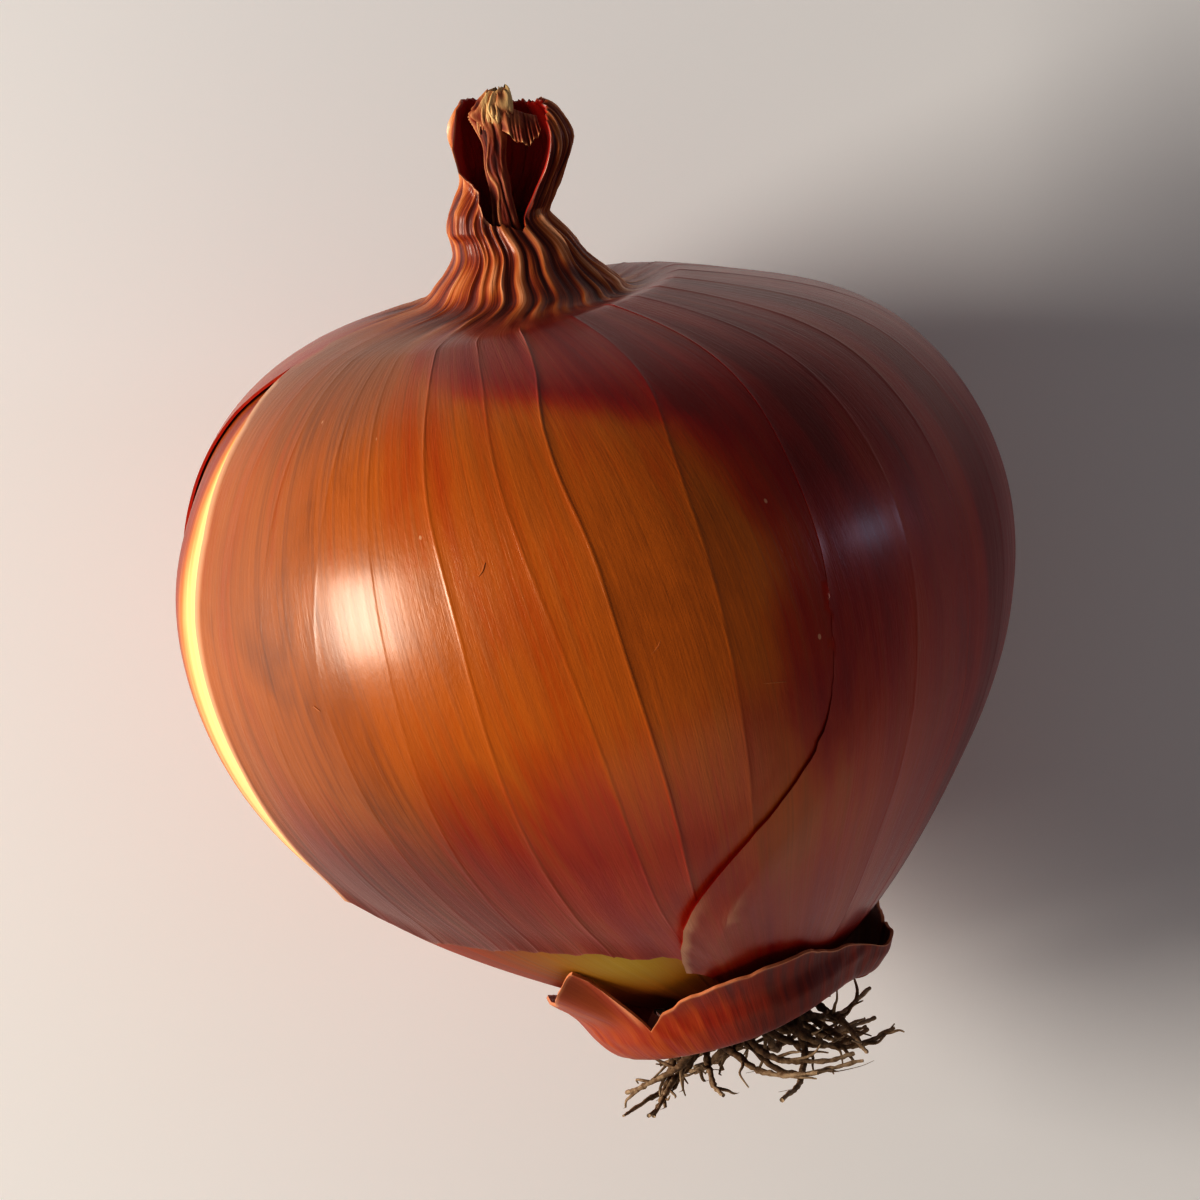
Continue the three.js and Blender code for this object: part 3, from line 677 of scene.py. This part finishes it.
# Outside its bronze part the skin is deep red, with a painted pool of warm bounced light low on the
# right.
past_edge = turn - read_off(BRONZE_EDGE, height) + 5 * rough_round(turn, 0.12 * height, 3, 61)
inside_edge = eased(past_edge, -BRONZE_SOFT, BRONZE_SOFT)
bronze = 0.14 + 0.12 * eased(turn, 15, 45) * (1 - eased(height, 8, 20))
bronze += (0.74 + 0.12 * eased(turn, 95, 125)) * inside_edge
bronze *= 1 - 0.55 * eased(-height, -4, 14) * inside_edge
bronze += 0.42 * patch_of(turn, height, BOUNCE_LIGHT_PATCH)
bronze += 0.35 * (1 - eased(turn, -150, -60))
# The left of the bronze part and its low left are painted darker, as mottled painted shade.
brown = 0.34 * eased(turn, 104, 138) * inside_edge
brown += 0.34 * eased(-height, -8, 12) * eased(turn, 95, 130)
brown += 0.10 * rough_round(turn, 0.09 * height, 2.5, 71) * inside_edge
# A painted sheen lies on the shoulder round the neck, stronger on its left: a painted reflection of
# the pale room.
bloom = eased(height, 24, 34) * (0.35 + 0.65 * eased(turn, 70, 130)) * (1 - in_neck)

skin_finish, tree, shader = new_finish(
    "dry_skin", Specular_IOR_Level=0.45, Coat_Weight=0.42, Coat_Roughness=0.22)
coarse = noise_at(tree, streaked(tree, 0.03), 0.28, 4, 0.55)
fibres = noise_at(tree, streaked(tree, 0.035), 1.6, 6, 0.65)
hairs = noise_at(tree, streaked(tree, 0.03), 5.5, 3, 0.6)
clouds = noise_at(tree, streaked(tree, 0.6), 0.11, 4, 0.6, 0.4)
grain_mix = sums(tree, "ADD", sums(tree, "MULTIPLY", coarse, 0.55),
                 sums(tree, "MULTIPLY", fibres, 0.45))
shade = sums(tree, "ADD", value_of(tree, "bronze"),
             ranged(tree, grain_mix, 0.32, 0.68, -0.15, 0.13))
shade = sums(tree, "ADD", shade, ranged(tree, clouds, 0.3, 0.7, -0.16, 0.14))
skin_colour = ramp(tree, shade, [
    (0.0, (0.19, 0.0010, 0.0002)), (0.2, (0.29, 0.0030, 0.0003)),
    (0.5, (0.40, 0.034, 0.0012)), (0.75, (0.49, 0.095, 0.004)), (1.0, (0.56, 0.150, 0.010))])
# The painted sheen, greyish, is mixed into the skin here, in streaks.
skin_colour = blended(tree, ranged(tree, sums(tree, "ADD", value_of(tree, "bloom"),
                                              ranged(tree, grain_mix, 0.35, 0.65, -0.25, 0.25)),
                                   0.15, 1.1, 0, 0.5), skin_colour, PAINTED_SHEEN_COLOUR)
# Fold valleys take painted shade and fold crests painted highlights.
fold_shade_and_highlight = sums(tree, "ADD", value_of(tree, "crest"), ranged(tree, fibres, 0.3, 0.7, -0.1, 0.1))
neck_colour = ramp(tree, fold_shade_and_highlight, [
    (0.04, (0.10, 0.0040, 0.0008)), (0.20, (0.30, 0.040, 0.004)), (0.40, (0.56, 0.160, 0.030)),
    (0.72, (0.88, 0.46, 0.26))])
# Dark stains mottle the skin at random, and the same dark colour paints the shade on the left and low
# left.
stain = sums(tree, "ADD", ranged(tree, fibres, 0.42, 0.72, 0, 0.20),
             ranged(tree, clouds, 0.5, 0.75, 0, 0.22))
skin_colour = blended(tree, sums(tree, "ADD", value_of(tree, "brown"), stain), skin_colour,
                      SHADE_AND_STAIN_COLOUR)
colour = blended(tree, value_of(tree, "neck"), skin_colour, neck_colour)
specks = node(tree, "ShaderNodeTexVoronoi", {
    "Vector": node(tree, "ShaderNodeAttribute", {}, attribute_name="grain").outputs["Vector"],
    "Scale": 0.16})
chosen = node(tree, "ShaderNodeSeparateColor", {"Color": specks.outputs["Color"]}).outputs["Red"]
dust = sums(tree, "MULTIPLY", ranged(tree, specks.outputs["Distance"], 0.020, 0.034, 1, 0),
            sums(tree, "GREATER_THAN", chosen, 0.62))
colour = blended(tree, sums(tree, "MULTIPLY", dust, 0.55), colour, DUST_COLOUR)
# A pale painted highlight runs along each vein's ridge.
colour = blended(tree, ranged(tree, value_of(tree, "vein"), 0.1, 1.0, 0, 0.4), colour,
                 VEIN_HIGHLIGHT_COLOUR)
# Pale torn edges, and the painted highlight on the lap's lip.
colour = blended(tree, ranged(tree, value_of(tree, "edge"), 0.1, 0.9, 0, 0.75), colour,
                 PALE_EDGE_AND_HIGHLIGHT_COLOUR)
# The inner face of the skin is painted bright red: its own red, with a painted glow of the light
# shining through the thin skin.
colour = blended(tree, value_of(tree, "inside"), colour, INSIDE_RED_AND_GLOW_COLOUR)
tree.links.new(colour, shader.inputs["Base Color"])
dull = sums(tree, "ADD", ranged(tree, fibres, 0.3, 0.7, 0.32, 0.42),
            sums(tree, "MULTIPLY", value_of(tree, "neck"), 0.25))
tree.links.new(dull, shader.inputs["Roughness"])
pores = noise_at(tree, streaked(tree, 0.6), 2.6, 3, 0.6)
relief_height = sums(tree, "ADD", sums(tree, "MULTIPLY", fibres, 0.5),
                     sums(tree, "MULTIPLY", hairs, 0.25))
relief_height = sums(tree, "ADD", relief_height, sums(tree, "MULTIPLY", pores, 0.35))
bumped(tree, shader, relief_height, 0.00008)


def sheet_parts(outer, inner):
    """Points and faces of a thin sheet between two matching grids of points.

    The sheet has no rim where its first and last columns meet.
    """
    rows, columns = outer.shape[:2]
    count = rows * columns
    number = np.arange(count).reshape(rows, columns)
    front = np.array(grid_faces(rows, columns, closed=False))
    meets = np.linalg.norm(outer[:, 0] - outer[:, -1], axis=-1) < SEAM_GAP
    apart = ~(meets[:-1] & meets[1:])
    start = np.concatenate([number[0, :-1], number[-1, 1:], number[1:, 0][apart],
                            number[:-1, -1][apart]])
    end = np.concatenate([number[0, 1:], number[-1, :-1], number[:-1, 0][apart],
                          number[1:, -1][apart]])
    rim = np.stack([start, end, end + count, start + count], -1)
    points = np.concatenate([outer.reshape(-1, 3), inner.reshape(-1, 3)])
    return points, np.concatenate([front, front[:, ::-1] + count, rim]).tolist()


def sheet_of(name, outer, inner, finish, **values):
    """A thin sheet as an object, welded where its ends meet, with values on its two faces."""
    made = object_of(name, *sheet_parts(outer, inner), finish)
    both = {key: value if isinstance(value, tuple) else (value, value)
            for key, value in values.items()}
    painted(made, **{key: np.concatenate([np.ravel(one) for one in pair])
                     for key, pair in both.items()})
    welded = bmesh.new()
    welded.from_mesh(made.data)
    bmesh.ops.remove_doubles(welded, verts=welded.verts, dist=SEAM_GAP)
    welded.to_mesh(made.data)
    welded.free()
    made.data.shade_smooth()
    made.data.set_sharp_from_angle(angle=math.radians(75))
    return made


skin = sheet_of("outer_skin_sheet", in_frame(outer), in_frame(inner, SKIN_ABOVE_FLOOR),
                skin_finish, grain=along_grain(turn, place), vein=ridge / VEIN_FULL_HIGHLIGHT,
                edge=edge, crest=crest, bronze=bronze, brown=brown, neck=in_neck, bloom=bloom,
                inside=(0 * turn, 0 * turn + 1))
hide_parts("outer_skin")
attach(skin, "root")

# Small nicks and scratches on the front of the skin have dried as thin pale scars.
SCARS = [
    # turn and height at points along it, and how thick it is
    ([(83.9, 7.3), (84.6, 6.3), (85.6, 5.7), (87.6, 5.1)], 0.15),
    ([(103.2, 17.5), (103.8, 16.9), (104.6, 16.5)], 0.09),
    ([(77.5, 2.4), (78.6, 1.6), (77.2, 1.0)], 0.06),
    ([(69.5, -1.2), (72.5, -0.6), (75.5, 0.2)], 0.06),
    ([(135, 8.0), (134, 7.4)], 0.06),
]
SCAR_SUNK, SCAR_STEPS, SCAR_SIDES, SCAR_FLATNESS = 0.02, 24, 8, 0.6


def tube(path, radii, sides, flat=1.0):
    """Points and faces of a rod along a path, closed at both ends."""
    path = np.asarray(path, float)
    along = np.gradient(path, axis=0)
    along /= np.linalg.norm(along, axis=1, keepdims=True)
    angles = np.arange(sides) * 2 * math.pi / sides
    side = np.cross(along[0], (0.31, 0.22, 0.93))
    rings = []
    for middle, step, radius in zip(path, along, radii):
        side = side - step * side.dot(step)
        side /= np.linalg.norm(side)
        other = np.cross(step, side)
        rings.append(middle + radius * (np.cos(angles)[:, None] * side
                                        + flat * np.sin(angles)[:, None] * other))
    faces = grid_faces(len(path), sides, closed=True)
    last = (len(path) - 1) * sides
    faces += [list(range(sides))[::-1], [last + k for k in range(sides)]]
    return np.concatenate(rings), faces


def joined(parts):
    """The points and faces of many parts as one."""
    points, faces, count = [], [], 0
    for part_points, part_faces in parts:
        points.append(part_points)
        faces += [[count + corner for corner in face] for face in part_faces]
        count += len(part_points)
    return np.concatenate(points), faces


def curve_of(points, count):
    """Evenly stepped points on a smooth curve through a few."""
    rows = np.array([points[0], *points, points[-1]], float)
    return curve_through(rows, np.linspace(0, len(points) - 1, count))


scar_parts = []
for path, thick in SCARS:
    scar = curve_of([(turn, place_of(height)) for turn, height in path], SCAR_STEPS)
    points = point_at(scar[:, 0], scar[:, 1], np.full(SCAR_STEPS, -SCAR_SUNK))
    radii = thick * np.sin(np.linspace(0.35, 2.9, SCAR_STEPS)) ** 0.7
    scar_parts.append(tube(points, radii, SCAR_SIDES, flat=SCAR_FLATNESS))
points, faces = joined(scar_parts)
scars = object_of("skin_scars", in_frame(points), faces, skin_finish)
scars.data.shade_smooth()
level = np.ones(len(points))
painted(scars, bronze=level, edge=0.3 * level, grain=points)
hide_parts("outer_skin")
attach(scars, "root")

# The dried ends of the inner leaves stand in the mouth of the neck, twisted together into
# one ragged strand. Its top is torn into pale fibres, and one thin leaf end curls off it.
CORE_RINGS = [
    # middle across, along and up, half its width and half its thickness
    (0.1, 40.8, 2.9, 1.35, 1.0), (0.15, 42.3, 3.2, 1.15, 0.85), (0.45, 44.2, 2.9, 1.0, 0.8),
    (0.75, 45.9, 2.5, 1.0, 0.85), (0.9, 47.7, 2.1, 1.0, 0.9), (1.5, 49.8, 2.1, 1.15, 0.9),
    (1.95, 51.5, 2.0, 1.75, 0.95), (2.0, 52.8, 1.9, 2.1, 0.85), (2.45, 53.7, 1.8, 1.7, 0.65),
    (2.9, 54.25, 1.8, 0.95, 0.4),
]
CORE_TWIST = 60
CORE_STEPS, CORE_TURN_STEP = 90, 3.0
CORE_CREASES = [(6, 0.9), (13, 1.4)]
FIBRES = 22
FIBRE_RADIUS, FIBRE_STEPS, FIBRE_SIDES = 0.13, 9, 6
# The thin leaf end that hangs across the mouth: its curled lower edge, then its upper edge.
LEAF_END = [
    [(1.9, 50.9, 2.5), (2.9, 50.1, 3.0), (3.5, 49.3, 3.25), (4.1, 48.8, 3.3), (4.8, 48.8, 3.2),
     (5.4, 49.1, 3.0), (5.9, 49.8, 2.6)],
    [(2.4, 52.7, 2.0), (3.2, 52.8, 2.1), (3.9, 52.3, 2.0), (4.5, 51.8, 1.7), (5.0, 51.4, 1.5),
     (5.5, 51.1, 1.3), (5.9, 50.9, 1.1)],
]
LEAF_END_SHEET = 0.2
LEAF_END_STEPS, LEAF_END_ROWS = 64, 18

draws = np.random.default_rng(12)
core_steps = np.linspace(0, len(CORE_RINGS) - 1, CORE_STEPS)
core_rows = np.array([CORE_RINGS[0], *CORE_RINGS, CORE_RINGS[-1]], float)
turn, step = np.meshgrid(np.arange(0, 360, CORE_TURN_STEP), core_steps)
x, y, z, wide, thick = np.moveaxis(curve_through(core_rows, step), -1, 0)
twist = CORE_TWIST * step / (len(CORE_RINGS) - 1)
uneven = rough_round(turn - twist, 0.5 * step, 1.6, 41)
creases = [(1 - np.abs(2 * np.mod(count * (turn - twist) / 360 + sway * uneven, 1) - 1)) ** 1.2
           for count, sway in CORE_CREASES]
crease = 0.26 * creases[0] + 0.13 * creases[1] - 0.18
torn = 0.22 * eased(step, 6.5, 9) * (np.sin(np.radians(7 * turn)) + np.sin(np.radians(12 * turn)))
strand = np.stack([x + wide * (1 + crease) * np.cos(np.radians(turn)), y + torn,
                   z + thick * (1 + crease) * np.sin(np.radians(turn))], -1)
rows, columns_round = turn.shape
faces = grid_faces(rows, columns_round, closed=True)
faces += [list(range(columns_round)),
          [(rows - 1) * columns_round + k for k in reversed(range(columns_round))]]
parts = [(strand.reshape(-1, 3), faces)]
top = eased(y, 50.8, 52.8) * eased(strand[..., 0], 0.6, 1.9)
# The crests of the strand's creases are painted pale and its grooves dark: painted highlights and
# painted shade.
tones = [np.ravel(0.42 * creases[0] + 0.26 * creases[1] - 0.02 + 0.55 * top)]
for _ in range(FIBRES):
    angle, reach = draws.uniform(0.1, 3.0), draws.uniform(0.8, 1.0)
    foot = np.array([1.9 + 1.8 * reach * math.cos(angle), draws.uniform(50.8, 51.6),
                     1.95 + 0.95 * reach * math.sin(angle)])
    tip = foot + np.array([0.35 - 0.3 * math.cos(angle), draws.uniform(1.6, 2.7), -0.35])
    middle = (foot + tip) / 2 + (*draws.normal(0, 0.1, 2), 0.22)
    radii = FIBRE_RADIUS * np.sin(np.linspace(0.5, 2.9, FIBRE_STEPS)) * draws.uniform(0.8, 1.6)
    parts.append(tube(curve_of([foot, middle, tip], FIBRE_STEPS), radii, FIBRE_SIDES, flat=0.6))
    tones.append(np.full(FIBRE_STEPS * FIBRE_SIDES, draws.uniform(0.6, 1.1)))
low_edge, high_edge = (curve_of(path, LEAF_END_STEPS) for path in LEAF_END)
up = np.linspace(0, 1, LEAF_END_ROWS)[:, None, None]
along = np.linspace(0, 1, LEAF_END_STEPS)
pleats = np.sin(34 * along + 2.5 * np.sin(9 * along)) + 0.6 * np.sin(71 * along + 1)
leaf_face = low_edge * (1 - up) + high_edge * up
leaf_face[..., 2] += 0.45 * np.sin(math.pi * up[..., 0]) + 0.07 * pleats
leaf_face[..., 2] += 0.3 * (1 - up[..., 0]) ** 6
leaf_face[..., 1] += (0.10 * pleats + 0.16 * np.sin(19 * along)) * (1 - up[..., 0]) ** 2
leaf_back = leaf_face - np.array([0.03, 0.04, 1]) * LEAF_END_SHEET
parts.append(sheet_parts(leaf_face, leaf_back))
leaf_tone = 0.27 + 0.06 * pleats + 0.6 * np.maximum(0, 1 - 7 * up[..., 0]) * (0.7 + 0.3 * pleats)
leaf_tone = leaf_tone + 0.25 * (1 - along) ** 2 * up[..., 0]
tones += [np.ravel(leaf_tone), np.ravel(leaf_tone)]
points, faces = joined(parts)

leaf_finish, tree, shader = new_finish("dried_leaf_strand", Roughness=0.65)
place = node(tree, "ShaderNodeTexCoord", {}).outputs["Object"]
drawn = node(tree, "ShaderNodeVectorMath", {0: place, 1: (900, 130, 900)}, operation="MULTIPLY")
threads = noise_at(tree, drawn.outputs["Vector"], 1.6, 5, 0.6)
pale = sums(tree, "ADD", value_of(tree, "tone"), ranged(tree, threads, 0.3, 0.7, -0.14, 0.14))
tree.links.new(ramp(tree, pale, [
    (0.0, (0.065, 0.0045, 0.002)), (0.28, (0.26, 0.035, 0.010)), (0.6, (0.56, 0.22, 0.09)),
    (1.0, (0.90, 0.62, 0.30))]), shader.inputs["Base Color"])
bumped(tree, shader, threads, 0.0002)
core = object_of("neck_leaf_strand", in_frame(points), faces, leaf_finish)
core.data.shade_smooth()
painted(core, tone=np.concatenate(tones))
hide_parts("neck_core")
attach(core, "root")

# A collar of old torn skin grows from the rim of the root plate. It turns out and back up
# round the bulb like a ruff, with a ragged edge, a notch in front and two curled tips.
COLLAR_RINGS = [
    # height and radius, from the plate's rim out and back up the bulb
    (-35.3, 8.1), (-37.4, 10.2), (-37.6, 12.6), (-35.4, 14.3), (-32.6, 15.4), (-30, 17.8),
    (-27.5, 21.0),
]
COLLAR_EDGE = [
    (0, 3.8), (20, 3.6), (45, 4.2), (64, 4.7), (82, 4.9), (105, 4.5), (118, 4.0), (126, 3.5),
    (132, 5.7), (138, 5.7), (150, 5.2), (168, 4.9), (185, 4.6), (205, 4.2), (235, 4.6),
    (270, 4.8), (310, 4.1), (345, 4.3), (360, 3.8),
]
COLLAR_SHEET = 0.3
COLLAR_COLUMNS, COLLAR_ROWS = 361, 60
COLLAR_WAVE, COLLAR_SHIFT, COLLAR_CRUMPLE, COLLAR_FOLDS = 0.6, 0.3, 0.5, 0.04
# Where the collar departs from its rings: the turn, how far round that goes, and how much.
LEFT_TIP_OUT, RIGHT_TIP_DOWN = (136, 14, 0.9), (14, 14, 1.1)
FLAP_UP, RIGHT_SIDE_UP, RIGHT_SIDE_IN = (132, 5, 2.4), (30, 42, 1.5), (55, 28, 0.9)
# The turn and reach of the painted highlight on the raised flap.
FLAP_HIGHLIGHT = (128.5, 2.2)
COLLAR_PALE_EDGE_AND_HIGHLIGHT_COLOUR = (0.78, 0.36, 0.18, 1)


def departs(where):
    """How much the collar departs from its rings at each of its points."""
    middle, reach, most = where
    return most * closeness(turn, middle, reach)


collar_rows = np.array([[2 * a - b for a, b in zip(COLLAR_RINGS[0], COLLAR_RINGS[1])],
                        *COLLAR_RINGS, COLLAR_RINGS[-1]], float)
turn, share = np.meshgrid(np.linspace(0, 360, COLLAR_COLUMNS), np.linspace(0, 1, COLLAR_ROWS))
ragged = 0.16 * rough_round(turn[0], 0, 5, 21) + 0.05 * rough_round(turn[0], 0, 14, 22)
step = share * (read_off(COLLAR_EDGE, turn) + ragged)
height, radius = np.moveaxis(curve_through(collar_rows, step), -1, 0)
next_height, next_radius = np.moveaxis(curve_through(collar_rows, step + 0.01), -1, 0)
climb, run = next_height - height, next_radius - radius
long = np.hypot(climb, run)
free = eased(step, 1, 5)
wave = COLLAR_WAVE * free * (0.5 + 0.5 * np.sin(np.radians(5 * turn + 60)))
around = np.radians(turn)
crumple = np.reshape([noise.noise(Vector((2.3 * math.cos(a), 2.3 * math.sin(a), 0.6 * s)))
                      for a, s in zip(around.ravel(), step.ravel())], step.shape)
fine_folds = COLLAR_FOLDS * np.cos(np.radians(23 * turn) + 7 * crumple) * eased(step, 0.3, 2)
left_tip = departs(LEFT_TIP_OUT) * eased(step, 3.2, 5.6)
right_tip = departs(RIGHT_TIP_DOWN) * eased(step, 1, 3)
drawn_in = departs(RIGHT_SIDE_IN) * eased(step, 2.8, 4.4)
raised = departs(FLAP_UP) * eased(step, 3.6, 5.6)
raised += departs(RIGHT_SIDE_UP) * (1 - eased(step, 2.5, 4.5)) * eased(step, 0, 1)
# A painted highlight runs along the edge of the raised flap on the left.
flap_highlight = closeness(turn, *FLAP_HIGHLIGHT) * eased(step, 3.2, 4.4)


def collar_face(inset):
    """One face of the collar, so many millimetres inside its outer one."""
    r = radius + wave + left_tip + 0.6 * right_tip + COLLAR_CRUMPLE * crumple * free + fine_folds
    r = r - drawn_in - inset * climb / long
    y = height - right_tip + raised + inset * run / long
    return np.stack([r * np.cos(around) - COLLAR_SHIFT * free, y, r * np.sin(around)], -1)


collar_finish, tree, shader = new_finish("collar_skin", Coat_Weight=0.08, Coat_Roughness=0.3)
streaks = noise_at(tree, streaked(tree, 0.08), 0.8, 5, 0.6)
tone = sums(tree, "ADD", value_of(tree, "bronze"), ranged(tree, streaks, 0.3, 0.7, -0.25, 0.25))
collar_colour = ramp(tree, tone, [
    (0.0, (0.14, 0.004, 0.0008)), (0.45, (0.30, 0.022, 0.002)), (1.0, (0.44, 0.090, 0.008))])
# The torn rim is pale, and the flap carries a painted highlight.
colour = blended(tree, ranged(tree, value_of(tree, "edge"), 0.1, 0.9, 0, 0.6), collar_colour,
                 COLLAR_PALE_EDGE_AND_HIGHLIGHT_COLOUR)
tree.links.new(colour, shader.inputs["Base Color"])
tree.links.new(ranged(tree, streaks, 0.3, 0.7, 0.42, 0.55), shader.inputs["Roughness"])
bumped(tree, shader, streaks, 0.00015)
collar = sheet_of("root_collar_sheet", in_frame(collar_face(0)),
                  in_frame(collar_face(COLLAR_SHEET)), collar_finish,
                  grain=np.stack([20 * np.cos(around), 20 * np.sin(around), 4 * step], -1),
                  edge=np.maximum(eased(share, 0.975, 1.0), flap_highlight),
                  bronze=0.1 + 0.6 * eased(turn, 60, 130))
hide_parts("root_collar")
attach(collar, "root")

# The root plate is a corky disc, the onion's stem, and the wiry dried roots grow from it.
# They run out under the collar, then curl sideways, fork and end in hair-thin tips.
PLATE_RADIUS = 8
# Share of the radius, and height, round the plate's section.
PLATE_OUTLINE = [(0, -37.3), (0.6, -37), (0.92, -36.2), (1, -34.9), (0.95, -34), (0, -33.9)]
PLATE_TURN_STEP, PLATE_STEPS = 4.0, 40
PLATE_ROUGHNESS, PLATE_LUMPS = 0.05, 0.35
ROOT_COUNT = 26
ROOT_RADIUS, ROOT_STEPS, ROOT_SIDES = 0.42, 42, 7
BRANCH_STEPS, BRANCH_SIDES = 14, 5
ROOT_START = -35.9
ROOT_REACH = (-43.2, -39.4)
ROOT_SEED = 7
GOLDEN_ANGLE = 137.5


def root_draws(seed):
    """An endless row of draws from 0 to 1."""
    state = seed
    while True:
        state = (state * 1664525 + 1013904223) % 4294967296
        yield state / 4294967296


plate_turn, plate_share = np.meshgrid(np.arange(0, 360, PLATE_TURN_STEP),
                                      np.linspace(0.001, 0.999, PLATE_STEPS))
outline_rows = np.array(PLATE_OUTLINE)
outline_at = plate_share * (len(PLATE_OUTLINE) - 1)
share = np.interp(outline_at, np.arange(len(PLATE_OUTLINE)), outline_rows[:, 0])
level = np.interp(outline_at, np.arange(len(PLATE_OUTLINE)), outline_rows[:, 1])
cork = np.reshape([noise.noise(Vector((5 * s * math.cos(a), 5 * s * math.sin(a), h)))
                   for s, a, h in zip(share.ravel(), np.radians(plate_turn).ravel(), level.ravel())],
                  share.shape)
plate_radius = PLATE_RADIUS * share * (1 + PLATE_ROUGHNESS * cork)
plate_points = np.stack([plate_radius * np.cos(np.radians(plate_turn)),
                         level + PLATE_LUMPS * cork * share,
                         plate_radius * np.sin(np.radians(plate_turn))], -1)
plate_faces = [face[::-1] for face in grid_faces(*plate_turn.shape, closed=True)]
cork_finish, tree, shader = new_finish("corky_root_plate", Roughness=0.9)
place = node(tree, "ShaderNodeTexCoord", {}).outputs["Object"]
pits = noise_at(tree, place, 900, 5, 0.65)
tree.links.new(ramp(tree, pits, [(0.3, (0.020, 0.010, 0.006)), (0.7, (0.13, 0.075, 0.040))]),
               shader.inputs["Base Color"])
bumped(tree, shader, pits, 0.0004)
plate_object = object_of("root_plate", in_frame(plate_points).reshape(-1, 3), plate_faces,
                         cork_finish)
plate_object.data.shade_smooth()
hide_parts("root_tuft")
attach(plate_object, "root")

draw = root_draws(ROOT_SEED)
draws = np.random.default_rng(31)
parts, tips = [], []
for number in range(ROOT_COUNT):
    angle = number * math.radians(GOLDEN_ANGLE)
    ring = (PLATE_RADIUS - 2) * math.sqrt((number + 0.5) / ROOT_COUNT)
    side = np.array([-math.sin(angle), 0, math.cos(angle)])
    point = np.array([ring * math.cos(angle), ROOT_START, ring * math.sin(angle)])
    heading = np.array([0.09 * point[0], -1, 0.09 * point[2]])
    heading /= np.linalg.norm(heading)
    curl = (-1 if next(draw) < 0.5 else 1) * (0.45 + 0.35 * next(draw))
    length = 8.5 + 7 * next(draw)
    path = [point.copy()]
    point = point + 2.8 * heading
    path.append(point.copy())
    for _ in range(4):
        heading = heading + curl * side
        heading += (0.35 * (next(draw) - 0.35), 0.5 * (next(draw) - 0.3), 0.35 * (next(draw) - 0.5))
        heading /= np.linalg.norm(heading)
        point = point + heading * length / 4
        point[1] = min(max(point[1], ROOT_REACH[0]), ROOT_REACH[1])
        path.append(point.copy())
    smooth = curve_of(path, ROOT_STEPS)
    smooth += np.cumsum(draws.normal(0, 0.035, smooth.shape), 0)
    radii = np.linspace(1.1, 0.45, ROOT_STEPS) + 0.10 * draws.normal(0, 1, ROOT_STEPS)
    parts.append(tube(smooth, ROOT_RADIUS * radii, ROOT_SIDES))
    tips.append(np.repeat(np.linspace(0, 1, ROOT_STEPS), ROOT_SIDES))
    for _ in range(draws.integers(2, 5)):
        first = draws.integers(14, 38)
        way = smooth[first] - smooth[first - 2]
        way /= np.linalg.norm(way)
        way = way + draws.normal(0, 0.55, 3)
        branch = [smooth[first]]
        for _ in range(3):
            way = way / np.linalg.norm(way) + draws.normal(0, 0.35, 3)
            branch.append(branch[-1] + way * draws.uniform(0.7, 1.5))
        branch = curve_of(branch, BRANCH_STEPS)
        radii = ROOT_RADIUS * np.linspace(0.5, 0.16, BRANCH_STEPS)
        parts.append(tube(branch, radii, BRANCH_SIDES))
        tips.append(np.repeat(np.linspace(0.6, 1, BRANCH_STEPS), BRANCH_SIDES))
points, faces = joined(parts)
points[:, 1] = np.maximum(points[:, 1], ROOT_REACH[0] - 0.6)

root_finish, tree, shader = new_finish("dried_root", Roughness=0.85)
place = node(tree, "ShaderNodeTexCoord", {}).outputs["Object"]
bark = noise_at(tree, place, 1400, 4, 0.6)
tone = sums(tree, "ADD", value_of(tree, "tip"), ranged(tree, bark, 0.3, 0.7, -0.3, 0.3))
tree.links.new(ramp(tree, tone, [
    (0.0, (0.045, 0.022, 0.012)), (0.5, (0.16, 0.095, 0.050)), (1.0, (0.36, 0.26, 0.17))]),
    shader.inputs["Base Color"])
bumped(tree, shader, bark, 0.0002)
roots = object_of("wiry_roots", in_frame(points), faces, root_finish)
roots.data.shade_smooth()
painted(roots, tip=np.concatenate(tips))
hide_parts("root_tuft")
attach(roots, "root")
